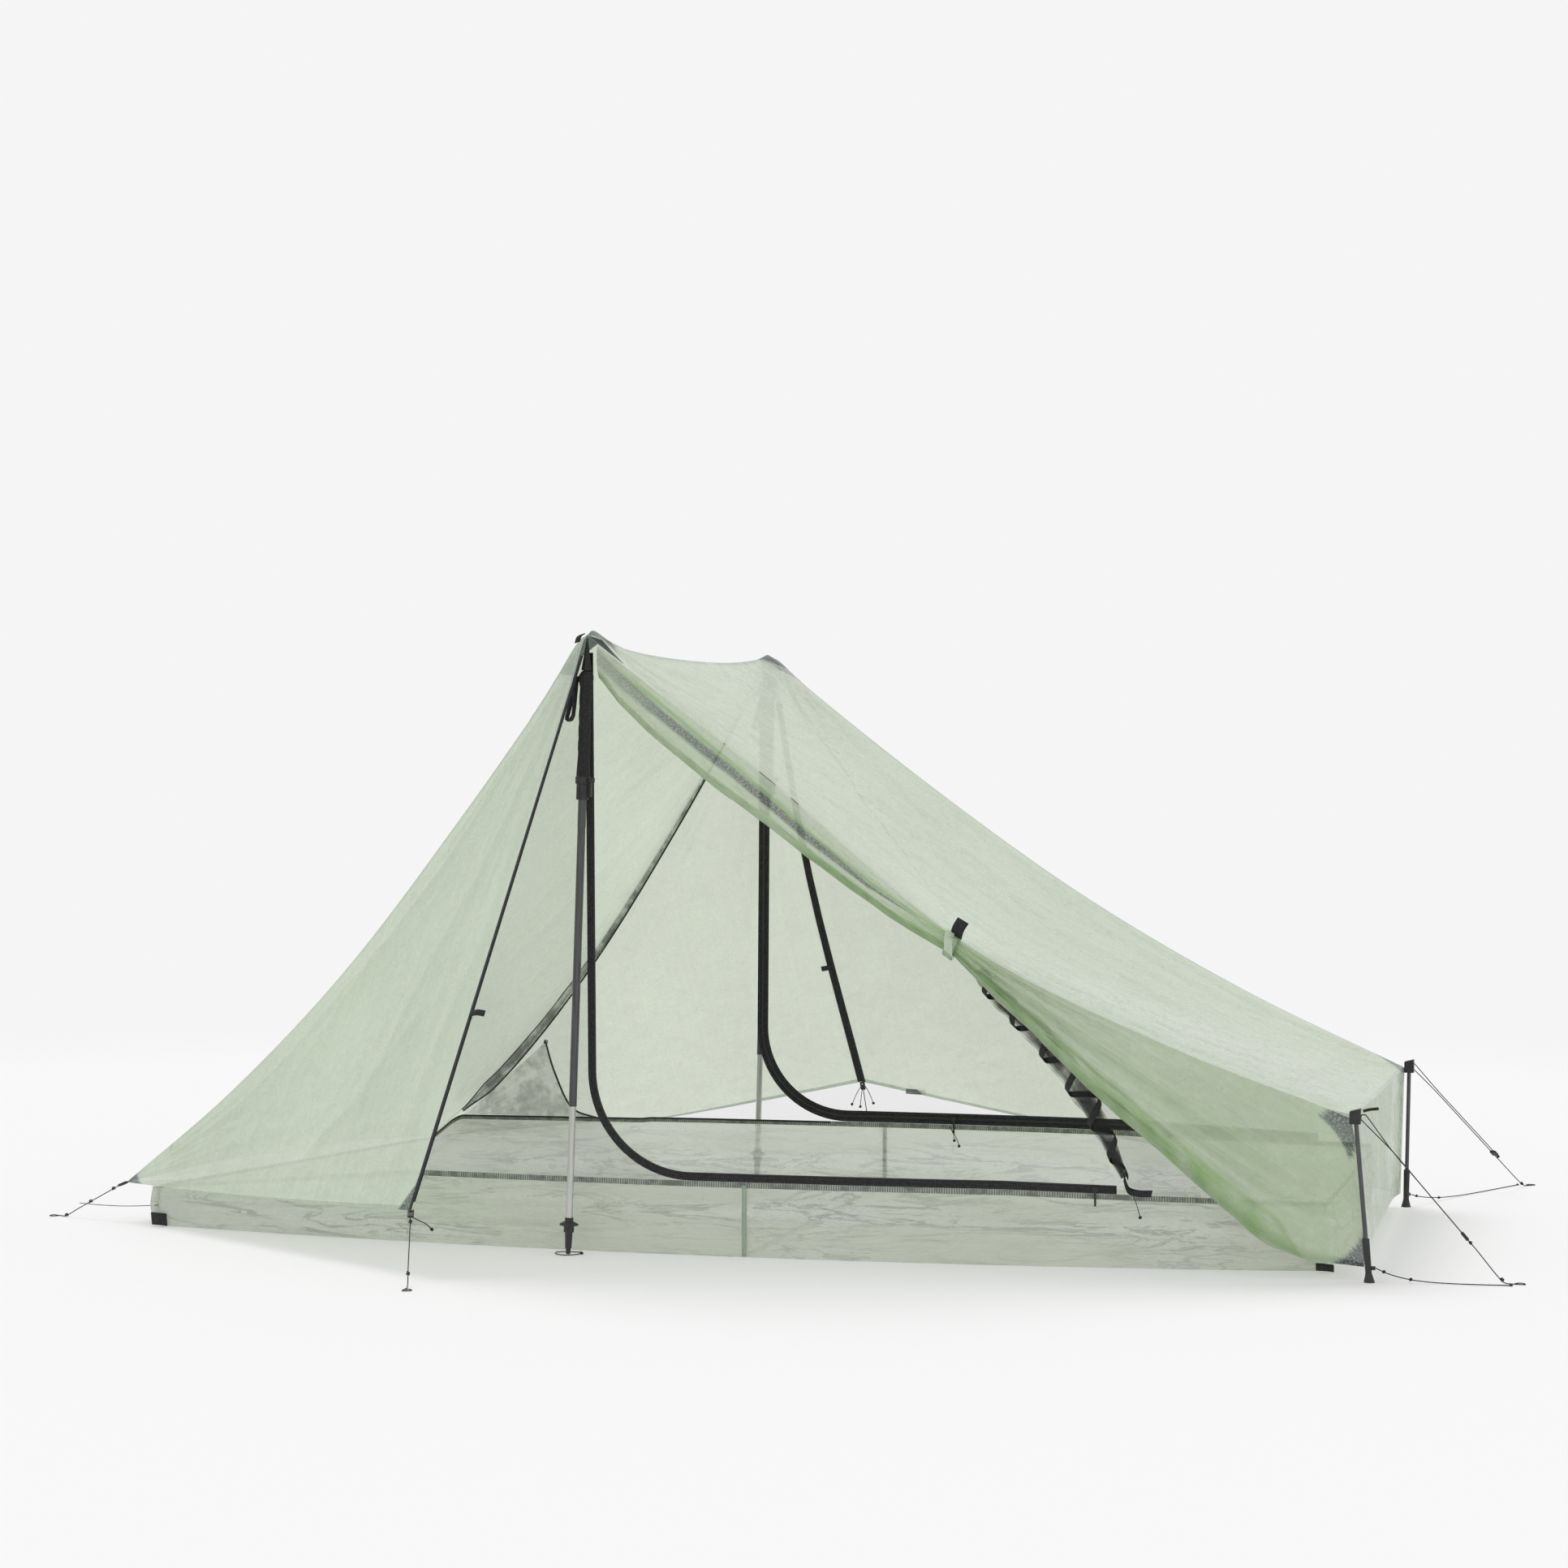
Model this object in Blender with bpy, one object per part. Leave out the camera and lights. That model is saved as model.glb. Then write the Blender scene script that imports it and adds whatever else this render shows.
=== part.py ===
"""Tarp tent, pitched on two trekking poles and two short struts at its foot end.

Metres, +Z up. X runs from the head end to the foot end. Y runs across the tent, from the
near side with the open door to the far side with the closed one. The origin is on the
ground midway between the poles, at the underside of the floor.
"""

import math

import bmesh
import bpy
from mathutils import Matrix, Vector

for old in list(bpy.data.objects):
    bpy.data.objects.remove(old, do_unlink=True)

UP = Vector((0.0, 0.0, 1.0))

# Pitch: where the corners of the flysheet stand
RIDGE_HEIGHT = 1.20
RIDGE_LENGTH = 1.23
NEAR_APEX = Vector((0.040, -RIDGE_LENGTH / 2, RIDGE_HEIGHT))
FAR_APEX = Vector((0.066, RIDGE_LENGTH / 2, RIDGE_HEIGHT))
HEM_HEIGHT = 0.080
NEAR_HEAD = Vector((-1.050, -0.400, HEM_HEIGHT))
FAR_HEAD = Vector((-0.760, 0.600, HEM_HEIGHT))
NEAR_VESTIBULE = Vector((-0.195, -0.945, 0.120))
FAR_VESTIBULE = Vector((0.200, 0.945, 0.200))
STRUT_HEIGHT = 0.310
NEAR_STRUT_TOP = Vector((1.510, -0.560, STRUT_HEIGHT))
FAR_STRUT_TOP = Vector((1.520, 0.530, STRUT_HEIGHT))
NEAR_STRUT_FOOT = Vector((1.536, -0.563, 0.0))
FAR_STRUT_FOOT = Vector((1.513, 0.530, 0.0))

# How far each seam hangs below the straight line between its ends
RIDGE_SAG = 0.025
NEAR_HIP_SAG = (0.055, 0.130, 0.087)
FAR_HIP_SAG = (0.052, 0.078, 0.058)
NEAR_HEAD_HIP_SAG = (0.060, 0.095, 0.070)
FAR_HEAD_HIP_SAG = (0.080, 0.120, 0.095)
HEM_SAG = (0.004, 0.006, 0.004)
FOOT_HEM_RISE = 0.020
HEAD_HEM_RISE = 0.015
FAR_ZIP_BOW = 0.020

# Cloth, netting and the room left at seams
CLOTH = 0.0012
NETTING = 0.0010
FLOOR_CLOTH = 0.0015
GAP = 0.0003
SEAM = CLOTH / 2 + 0.8 * GAP
NET_BELOW_ROOF = CLOTH / 2 * math.sqrt(2) + 11 * GAP
NET_INSET = 0.025
NEAR_NET_START = 0.030
FAR_NET_START = 0.090
POINTED_CORNER = 0.030

# Bathtub floor
FLOOR_FOOT = 1.447
FLOOR_HEAD_NEAR = -0.947
FLOOR_HEAD_FAR = -0.750
FLOOR_SIDE = 0.570
FLOOR_END = 0.455
FLOOR_FAR_HEAD_END = 0.500
TUB_WALL = 0.145
TUB_WALL_HEAD = 0.085
TUB_WALL_FOOT = 0.130

# Zips
INNER_ZIP_X = 0.034
INNER_ZIP_CORNER = 0.200
NEAR_INNER_ZIP_WIDTH = 0.016
FAR_INNER_ZIP_WIDTH = 0.025
NEAR_INNER_ZIP_END = 1.060
FAR_INNER_ZIP_END = 1.330
NEAR_OUTER_ZIP_WIDTH = 0.007
FAR_OUTER_ZIP_WIDTH = 0.020

# Trekking poles
GRIP_RADIUS = 0.0120
GRIP_HEAD_RADIUS = GRIP_RADIUS + 0.0025
GRIP_LENGTH = 0.205
PEAK_POCKET = 0.065 + 5 * (GRIP_RADIUS - 0.0120)
GRIP_TOP = RIDGE_HEIGHT - PEAK_POCKET
HANDLE_TUBE_RADIUS = 0.0095
TUBE_WALL = 0.0010
RUNNING_GAP = 0.0003
SLEEVE_RADIUS = HANDLE_TUBE_RADIUS - TUBE_WALL - RUNNING_GAP
MIDDLE_TUBE_RADIUS = 0.0078
LOWER_TUBE_RADIUS = MIDDLE_TUBE_RADIUS - TUBE_WALL - RUNNING_GAP
MIDDLE_TUBE_END = 0.288

# Struts
STRUT_RADIUS = 0.0043
CAP_HALF = 0.010
CAP_HEIGHT = 0.026
CAP_CORNER = CAP_HALF - 0.0007
SLEEVE_FOOT_RADIUS = 0.0066
SLEEVE_FOOT_HEIGHT = 0.080
SLEEVE_FLARE = 0.0105

ROUND = 16

COLOURS = {
    "canopy": ((0.72, 0.80, 0.68), 0.45, 0.0),
    "floor_cloth": ((0.66, 0.72, 0.64), 0.45, 0.0),
    "reinforcement": ((0.42, 0.47, 0.47), 0.60, 0.0),
    "netting": ((0.05, 0.05, 0.05), 0.90, 0.0),
    "zip_tape": ((0.02, 0.02, 0.02), 0.80, 0.0),
    "black_plastic": ((0.02, 0.02, 0.02), 0.40, 0.0),
    "grip_foam": ((0.02, 0.02, 0.02), 0.95, 0.0),
    "carbon": ((0.03, 0.03, 0.03), 0.30, 0.0),
    "silver_tube": ((0.70, 0.70, 0.68), 0.35, 0.9),
    "cord": ((0.06, 0.06, 0.06), 0.80, 0.0),
}


def material(name, finish):
    """A material of a piece's own, in one of the finishes."""
    made = bpy.data.materials.new(name)
    made.use_nodes = True
    shader = made.node_tree.nodes["Principled BSDF"]
    colour, roughness, metallic = COLOURS[finish]
    shader.inputs["Base Color"].default_value = (*colour, 1.0)
    shader.inputs["Roughness"].default_value = roughness
    shader.inputs["Metallic"].default_value = metallic
    return made


def place(name, bm, finish, matrix=None, smooth=False):
    """Turn a bmesh into a named object, moved to where it belongs."""
    bmesh.ops.recalc_face_normals(bm, faces=bm.faces)
    mesh = bpy.data.meshes.new(name)
    bm.to_mesh(mesh)
    bm.free()
    if smooth:
        mesh.shade_smooth()
        mesh.set_sharp_from_angle(angle=math.radians(40))
    mesh.materials.append(material(name, finish))
    obj = bpy.data.objects.new(name, mesh)
    if matrix is not None:
        obj.matrix_world = matrix
    bpy.context.scene.collection.objects.link(obj)
    return obj


def mix(a, b, t):
    return a + (b - a) * t


def smooth_through(values, t):
    """A smooth curve through evenly spaced values, read at t from 0 to 1."""
    spans = len(values) - 1
    i = min(int(t * spans), spans - 1)
    f = t * spans - i
    before = values[i - 1] if i else values[0] * 2 - values[1]
    after = values[i + 2] if i + 2 <= spans else values[spans] * 2 - values[spans - 1]
    a, b = values[i], values[i + 1]
    bend = (before * 2 - a * 5 + b * 4 - after) * f * f + (a * 3 - before - b * 3 + after) * f**3
    return a + ((b - before) * f + bend) * 0.5


def along(points, t):
    """Read t from 0 to 1 on a list of (t, value) pairs, with a straight line between pairs."""
    for (t0, v0), (t1, v1) in zip(points, points[1:]):
        if t <= t1:
            return mix(v0, v1, (t - t0) / (t1 - t0))
    return points[-1][1]


def seam(a, b, sags, push=-UP):
    """A seam from a to b that hangs by the given amounts at even steps between its ends."""
    profile = [0.0, *sags, 0.0]

    def at(t):
        return mix(a, b, t) + push * smooth_through(profile, t)

    return at


def surface(top, bottom, left, right):
    """The cloth stretched between four seams. u runs along top and bottom, v down the sides."""

    def at(u, v):
        across = mix(left(v), right(v), u)
        down = mix(top(u), bottom(u), v)
        corners = mix(mix(top(0), top(1), u), mix(bottom(0), bottom(1), u), v)
        return across + down - corners

    return at


def even(count):
    """Even steps from 0 to 1."""
    return [k / count for k in range(count + 1)]


def grid(at, across, down, insets=(0.0, 0.0, 0.0, 0.0)):
    """Points of a surface, with its edges drawn in by insets (left, right, top, bottom)."""
    points = [[at(u, v) for u in across] for v in down]
    left, right, top, bottom = insets
    first, last = points[0], points[-1]
    rows_in = [
        [p + (q - p).normalized() * top for p, q in zip(first, points[1])],
        *points[1:-1],
        [p + (q - p).normalized() * bottom for p, q in zip(last, points[-2])],
    ]
    for row in rows_in:
        row[0] = row[0] + (row[1] - row[0]).normalized() * left
        row[-1] = row[-1] + (row[-2] - row[-1]).normalized() * right
    return rows_in


def sheet(name, rows, finish, thickness=CLOTH, origin=Vector()):
    """A sheet of cloth through rows of points, thickened evenly to both sides."""
    bm = bmesh.new()
    verts = [[bm.verts.new(p - origin) for p in row] for row in rows]
    for upper, lower in zip(verts, verts[1:]):
        for k in range(len(upper) - 1):
            bm.faces.new((upper[k], upper[k + 1], lower[k + 1], lower[k]))
    obj = place(name, bm, finish, Matrix.Translation(origin))
    thicken(obj, thickness)
    return obj


def thicken(obj, thickness, offset=0.0):
    wall = obj.modifiers.new("thickness", "SOLIDIFY")
    wall.thickness = thickness
    wall.offset = offset
    wall.use_even_offset = True


def strip(name, centre, to_left, to_right, finish, thickness=CLOTH):
    """A flat tape along a list of points, reaching by to_left and to_right at each."""
    rows = [[c + a, c, c + b] for c, a, b in zip(centre, to_left, to_right)]
    return sheet(name, rows, finish, thickness)


def turned(name, profile, finish, matrix, sides=ROUND, smooth=True):
    """A turned body from (radius, height) points that close up on the axis or in a ring."""
    bm = bmesh.new()
    verts = [bm.verts.new((r, 0.0, z)) for r, z in profile]
    edges = [bm.edges.new(pair) for pair in zip(verts, verts[1:])]
    if profile[0][0] > 0:
        edges.append(bm.edges.new((verts[-1], verts[0])))
    bmesh.ops.spin(
        bm,
        geom=verts + edges,
        cent=(0, 0, 0),
        axis=(0, 0, 1),
        angle=math.tau,
        steps=sides,
        use_merge=True,
        use_duplicate=False,
    )
    bmesh.ops.remove_doubles(bm, verts=bm.verts, dist=0.00001)
    return place(name, bm, finish, matrix, smooth)


def tube(outer, inner, low, high):
    """Profile of a tube open at both ends."""
    return [(outer, low), (outer, high), (inner, high), (inner, low)]


def block(size, centre, bm=None, bevel=0.0):
    """A box with its edges rounded by bevel."""
    bm = bm or bmesh.new()
    made = bmesh.ops.create_cube(bm, size=1.0)["verts"]
    bmesh.ops.scale(bm, vec=size, verts=made)
    bmesh.ops.translate(bm, vec=centre, verts=made)
    if bevel:
        edges = list({e for v in made for e in v.link_edges})
        bmesh.ops.bevel(bm, geom=edges, offset=bevel, segments=2, profile=0.5, affect="EDGES", material=-1)
    return bm


def hidden(obj):
    """Mark a shape that only cuts or joins another."""
    obj.hide_render = True
    obj.display_type = "WIRE"
    return obj


def combine(obj, other, operation):
    act = obj.modifiers.new(operation.lower(), "BOOLEAN")
    act.operation = operation
    act.object = hidden(other)
    act.solver = "EXACT"
    return obj


def rod(name, radius, start, end, finish, sides=ROUND):
    """A plain round rod between two points."""
    bm = bmesh.new()
    length = (end - start).length
    bmesh.ops.create_cone(
        bm, cap_ends=True, segments=sides, radius1=radius, radius2=radius, depth=length
    )
    front = UP if abs((end - start).normalized().z) < 0.7 else Vector((0.0, -1.0, 0.0))
    return place(name, bm, finish, facing((start + end) / 2, end - start, front), True)


def facing(origin, direction, front=Vector((0.0, -1.0, 0.0))):
    """A frame at origin whose Z points along direction and whose -Y leans to front."""
    z = direction.normalized()
    y = (-front - z * z.dot(-front)).normalized()
    x = y.cross(z)
    turn = Matrix((x, y, z)).transposed().to_4x4()
    return Matrix.Translation(origin) @ turn


def cord(name, route, diameter, samples):
    """A cord along a smooth curve through the points of its route, never under the ground."""
    curve = bpy.data.curves.new(name, "CURVE")
    curve.dimensions = "3D"
    curve.bevel_depth = diameter / 2
    curve.bevel_resolution = 2
    curve.use_fill_caps = True
    spline = curve.splines.new("POLY")
    points = [smooth_through(route, k / samples) for k in range(samples + 1)]
    spline.points.add(len(points) - 1)
    for point, p in zip(spline.points, points):
        point.co = (p.x, p.y, max(p.z, diameter * 0.6), 1.0)
    curve.materials.append(material(name, "cord"))
    obj = bpy.data.objects.new(name, curve)
    bpy.context.scene.collection.objects.link(obj)
    return obj


# Flysheet seams: the cloth stops at the inner corner of each strut's cap
NEAR_FOOT = NEAR_STRUT_TOP + Vector((-CAP_CORNER, CAP_CORNER, -CAP_HEIGHT / 3))
FAR_FOOT = FAR_STRUT_TOP + Vector((-CAP_CORNER, -CAP_CORNER, -CAP_HEIGHT / 3))
WALL_CLEAR = SLEEVE_FLARE
NEAR_WALL_FOOT = NEAR_STRUT_FOOT + Vector((-WALL_CLEAR, WALL_CLEAR, 0.030))
FAR_WALL_FOOT = FAR_STRUT_FOOT + Vector((-WALL_CLEAR, -WALL_CLEAR, 0.030))

ridge = seam(NEAR_APEX, FAR_APEX, (RIDGE_SAG * 0.8, RIDGE_SAG, RIDGE_SAG * 0.8))
near_hip = seam(NEAR_APEX, NEAR_FOOT, NEAR_HIP_SAG)
far_hip = seam(FAR_APEX, FAR_FOOT, FAR_HIP_SAG)
near_head_hip = seam(NEAR_APEX, NEAR_HEAD, NEAR_HEAD_HIP_SAG)
far_head_hip = seam(FAR_APEX, FAR_HEAD, FAR_HEAD_HIP_SAG)
head_hem = seam(NEAR_HEAD, FAR_HEAD, (HEAD_HEM_RISE, HEAD_HEM_RISE, HEAD_HEM_RISE), UP)
foot_seam = seam(NEAR_FOOT, FAR_FOOT, HEM_SAG)
foot_hem = seam(NEAR_WALL_FOOT, FAR_WALL_FOOT, (FOOT_HEM_RISE, FOOT_HEM_RISE, FOOT_HEM_RISE), UP)
near_zip = seam(NEAR_APEX, NEAR_VESTIBULE, (0.0,))
far_zip = seam(FAR_APEX, FAR_VESTIBULE, (FAR_ZIP_BOW,), Vector((-1.0, 0.0, 0.0)))
near_vestibule_hem = seam(NEAR_VESTIBULE, NEAR_HEAD, HEM_SAG)
far_vestibule_hem = seam(FAR_VESTIBULE, FAR_HEAD, HEM_SAG)
far_door_hem = seam(FAR_VESTIBULE, FAR_WALL_FOOT, HEM_SAG)
near_wall_edge = seam(NEAR_FOOT, NEAR_WALL_FOOT, (0.0,))
far_wall_edge = seam(FAR_FOOT, FAR_WALL_FOOT, (0.0,))

head_cloth = surface(ridge, head_hem, near_head_hip, far_head_hip)
foot_cloth = surface(ridge, foot_seam, near_hip, far_hip)


def ends_at(point):
    """A side that has shrunk to one point, for three-cornered cloth."""
    return lambda t: point.copy()


SIDE_COLUMNS = 9
FAR_ROWS = 10
OUTER_ZIP_END = 0.9985
DOOR_CORNER_CLEAR = 0.006


def flysheet():
    """The canopy's panels, each cut to its seams."""
    sheet("fly_foot_panel", grid(foot_cloth, even(8), even(16), (SEAM, SEAM, SEAM, SEAM)), "canopy")
    sheet("fly_head_panel", grid(head_cloth, even(8), even(14), (SEAM, SEAM, SEAM, SEAM)), "canopy")
    end_wall = surface(foot_seam, foot_hem, near_wall_edge, far_wall_edge)
    wall_inset = 2 * SEAM
    sheet("foot_end_wall", grid(end_wall, even(8), even(3), (wall_inset, wall_inset, SEAM, 0.0)), "canopy")

    near = surface(near_head_hip, near_vestibule_hem, near_zip, ends_at(NEAR_HEAD))
    zip_in = NEAR_OUTER_ZIP_WIDTH + GAP
    near_rows = grid(near, even(SIDE_COLUMNS), even(7), (zip_in, POINTED_CORNER, SEAM, 0.0))
    sheet("near_vestibule_panel", near_rows, "canopy")
    far = surface(far_head_hip, far_vestibule_hem, far_zip, ends_at(FAR_HEAD))
    half_zip = FAR_OUTER_ZIP_WIDTH / 2
    far_rows = grid(far, even(SIDE_COLUMNS), even(FAR_ROWS), (half_zip + GAP, POINTED_CORNER, SEAM, 0.0))
    sheet("far_vestibule_panel", far_rows, "canopy")
    door = surface(far_hip, far_door_hem, far_zip, far_wall_edge)
    door_rows = grid(door, even(SIDE_COLUMNS), even(FAR_ROWS), (half_zip + GAP, DOOR_CORNER_CLEAR, SEAM, 0.0))
    sheet("far_door_panel", door_rows, "canopy", origin=FAR_APEX)

    centre, inner, outer = [], [], []
    far_centre, to_vestibule, to_door = [], [], []
    step = 1 / SIDE_COLUMNS
    for k in range(1, FAR_ROWS + 1):
        t = k / FAR_ROWS
        point = near_zip(min(t, OUTER_ZIP_END))
        inward = (near(step, t) - point).normalized()
        centre.append(point + inward * (NEAR_OUTER_ZIP_WIDTH / 2))
        inner.append(inward * (NEAR_OUTER_ZIP_WIDTH / 2))
        outer.append(-inward * (NEAR_OUTER_ZIP_WIDTH / 2))
        point = far_zip(min(t, OUTER_ZIP_END))
        far_centre.append(point)
        to_vestibule.append((far(step, t) - point).normalized() * half_zip)
        to_door.append((door(step, t) - point).normalized() * half_zip)
    strip("near_outer_zip", centre, outer, inner, "zip_tape")
    strip("far_outer_zip", far_centre, to_vestibule, to_door, "zip_tape")


# The near door is rolled up to the hip as far as its strap, and falls free beyond it
NEAR_DOOR_START = 0.035
TIE_AT = 0.490
DOOR_DEPTH = [
    (0.0, 0.060),
    (0.08, 0.090),
    (0.16, 0.097),
    (0.30, 0.086),
    (0.40, 0.064),
    (TIE_AT, 0.036),
    (0.60, 0.092),
    (0.68, 0.149),
    (0.76, 0.190),
    (0.84, 0.240),
    (0.92, 0.290),
    (0.95, 0.292),
    (1.0, 0.250),
]
DOOR_THICKNESS = [
    (0.0, 0.012),
    (0.10, 0.034),
    (0.30, 0.036),
    (TIE_AT, 0.026),
    (0.58, 0.010),
    (0.64, CLOTH),
    (1.0, CLOTH),
]
DOOR_HANG_GAP = 0.0008


def near_door():
    """The rolled door and its falling curtain, one cloth lofted along the hip seam."""
    side = 6
    bm = bmesh.new()
    rings = []
    rolled = [mix(NEAR_DOOR_START, TIE_AT, t) for t in even(12)]
    falling = [mix(TIE_AT, 0.994, t) for t in even(13)]
    for s in rolled + falling[1:]:
        hip = near_hip(s)
        depth = along(DOOR_DEPTH, s)
        half = along(DOOR_THICKNESS, s) / 2
        top = hip + Vector((0.0, GAP - half, -DOOR_HANG_GAP))
        flare = 0.10 * max(0.0, s - TIE_AT)
        left, right = [], []
        for j in range(side + 1):
            f = j / side
            middle = top + Vector((0.0, -flare * math.sin(f * math.pi / 2), -depth * f))
            bulge = max(math.sqrt(max(0.0, 1 - (2 * f - 1) ** 2)), 0.35)
            wide = max(half * bulge, CLOTH / 2)
            left.append(bm.verts.new(middle + Vector((0.0, -wide, 0.0))))
            right.append(bm.verts.new(middle + Vector((0.0, wide, 0.0))))
        rings.append(left + right[::-1])
    count = len(rings[0])
    for a, b in zip(rings, rings[1:]):
        for j in range(count):
            bm.faces.new((a[j], a[(j + 1) % count], b[(j + 1) % count], b[j]))
    for ring in (rings[0], rings[-1]):
        for j in range(side):
            bm.faces.new((ring[j], ring[j + 1], ring[count - 2 - j], ring[count - 1 - j]))
    place("near_door_panel", bm, "canopy")


# Bathtub floor and the upright netting that joins it to the canopy
def side_y(side, x):
    """Where the tub's long side runs at x: bowed outwards between its end corners."""
    head = FLOOR_HEAD_NEAR if side < 0 else FLOOR_HEAD_FAR
    head_end = FLOOR_END if side < 0 else FLOOR_FAR_HEAD_END
    f = (x - head) / (FLOOR_FOOT - head)
    end = mix(head_end, FLOOR_END, f)
    return side * (end + (FLOOR_SIDE - end) * 4 * f * (1 - f))


def tub_height(side, x):
    """Height of the tub wall's top edge at x, lower at both ends."""
    head = FLOOR_HEAD_NEAR if side < 0 else FLOOR_HEAD_FAR
    f = min(max((x - head) / (FLOOR_FOOT - head), 0.0), 1.0)
    low = TUB_WALL_HEAD if f < 0.5 else TUB_WALL_FOOT
    return mix(low, TUB_WALL, min(1.0, 4 * min(f, 1 - f)))


TUB_STEPS = 12


def tub_stations(side, low, high):
    """low and high, with the tub's own corners along its long side between them."""
    head = FLOOR_HEAD_NEAR if side < 0 else FLOOR_HEAD_FAR
    corners = [mix(head, FLOOR_FOOT, k / TUB_STEPS) for k in range(TUB_STEPS + 1)]
    return [low, *(x for x in corners if low + 0.005 < x < high - 0.005), high]


def halved(values):
    """The same values with the midpoints between them."""
    middles = [(a + b) / 2 for a, b in zip(values, values[1:])]
    return sorted(values + middles)


def bathtub():
    """The floor with its four walls folded up, open at the top."""
    steps = TUB_STEPS
    ends = 4
    outline = []
    for k in range(steps):
        x = mix(FLOOR_HEAD_NEAR, FLOOR_FOOT, k / steps)
        outline.append((x, side_y(-1, x), tub_height(-1, x)))
    for k in range(ends):
        y = mix(side_y(-1, FLOOR_FOOT), side_y(1, FLOOR_FOOT), k / ends)
        outline.append((FLOOR_FOOT, y, TUB_WALL_FOOT))
    for k in range(steps):
        x = mix(FLOOR_FOOT, FLOOR_HEAD_FAR, k / steps)
        outline.append((x, side_y(1, x), tub_height(1, x)))
    for k in range(ends):
        x = mix(FLOOR_HEAD_FAR, FLOOR_HEAD_NEAR, k / ends)
        y = mix(side_y(1, FLOOR_HEAD_FAR), side_y(-1, FLOOR_HEAD_NEAR), k / ends)
        outline.append((x, y, TUB_WALL_HEAD))
    bm = bmesh.new()
    low = [bm.verts.new((x, y, 0.0)) for x, y, _ in outline]
    high = [bm.verts.new((x, y, z)) for x, y, z in outline]
    bm.faces.new(low[::-1])
    for k in range(len(outline)):
        n = (k + 1) % len(outline)
        bm.faces.new((low[k], low[n], high[n], high[k]))
    obj = place("bathtub_floor", bm, "floor_cloth")
    thicken(obj, FLOOR_CLOTH, -1.0)


def roof_height(x, y):
    """Height of the canopy's mid-surface above a point of the ground."""
    ridge_x = mix(NEAR_APEX.x, FAR_APEX.x, (y + RIDGE_LENGTH / 2) / RIDGE_LENGTH)
    at = head_cloth if x < ridge_x else foot_cloth
    u, v, h = 0.5, 0.5, 1e-4
    for _ in range(12):
        here = at(u, v)
        du = (at(u + h, v) - here) / h
        dv = (at(u, v + h) - here) / h
        wrong_x, wrong_y = x - here.x, y - here.y
        size = du.x * dv.y - du.y * dv.x
        u = min(max(u + (wrong_x * dv.y - wrong_y * dv.x) / size, 0.0), 0.999)
        v = min(max(v + (wrong_y * du.x - wrong_x * du.y) / size, 0.0), 0.999)
    return at(u, v).z


def net_top(side, x):
    """Where the upright netting meets the canopy at x."""
    apex = NEAR_APEX if side < 0 else FAR_APEX
    head = NEAR_HEAD if side < 0 else FAR_HEAD
    foot = NEAR_FOOT if side < 0 else FAR_FOOT
    end = head if x < apex.x else foot
    y = mix(apex.y, end.y, (x - apex.x) / (end.x - apex.x)) - side * NET_INSET
    return Vector((x, y, roof_height(x, y) - NET_BELOW_ROOF))


def net_bottom(side, x):
    """Where the upright netting stands on the tub's edge at x, clear of it where it leans."""
    low = Vector((x, side_y(side, x) - side * FLOOR_CLOTH / 2, tub_height(side, x)))
    rise = net_top(side, x) - low
    return low + UP * (GAP + NETTING / 2 * abs(rise.y) / rise.length)


def on_net(side, x, z):
    """The point of the upright netting at x and height z."""
    low, high = net_bottom(side, x), net_top(side, x)
    f = (z - low.z) / (high.z - low.z)
    return Vector((x, mix(low.y, high.y, f), z))


ZIP_RISE_STEPS = 4
ZIP_TURN_STEPS = 7


def zip_line(side, width, end, shift):
    """The inner zip's line as (x, z) pairs, from the peak round its corner to the foot end."""
    apex = NEAR_APEX if side < 0 else FAR_APEX
    x0 = apex.x + INNER_ZIP_X - NEAR_APEX.x
    rest = tub_height(side, x0) + GAP + width / 2
    radius = INNER_ZIP_CORNER
    top = min(net_top(side, x0 - width / 2).z, net_top(side, x0 + width / 2).z) - 0.006
    line = [(x0 + shift, mix(top, rest + radius, k / ZIP_RISE_STEPS)) for k in range(ZIP_RISE_STEPS)]
    turn = ZIP_TURN_STEPS
    for k in range(turn + 1):
        a = math.pi + k / turn * math.pi / 2
        r = radius - shift
        line.append((x0 + radius + r * math.cos(a), rest + radius + r * math.sin(a)))
    for x in tub_stations(side, x0 + radius, end)[1:]:
        line.append((x, tub_height(side, x) + GAP + width / 2 + shift))
    return line


def zip_tape(name, side, width, end):
    left = zip_line(side, width, end, -width / 2)
    right = zip_line(side, width, end, width / 2)
    rows = [[on_net(side, *a), on_net(side, *b)] for a, b in zip(left, right)]
    sheet(name, rows, "zip_tape", NETTING)


def by_height(points):
    """A way down (x, z) pairs, read by its share of the whole drop, with the shares of its points."""
    top, low = points[0][1], points[-1][1]
    shares = [(top - z) / (top - low) for _, z in points]
    line = [(share, Vector((x, 0.0, z))) for share, (x, z) in zip(shares, points)]
    return lambda t: along(line, t), shares


def net_panel(name, side, rows):
    """Netting over a grid of (x, z) places on the upright wall."""
    lifted = []
    for j, row in enumerate(rows):
        line = []
        for p in row:
            point = on_net(side, p.x, p.z)
            if j == 0:
                point = net_top(side, p.x)
            line.append(point)
        lifted.append(line)
    return sheet(name, lifted, "netting", NETTING)


def edge_line(side, x0, x1, at):
    """The canopy line or the tub line between two x as (x, z)."""
    return lambda t: Vector((mix(x0, x1, t), 0.0, at(side, mix(x0, x1, t)).z))


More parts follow.
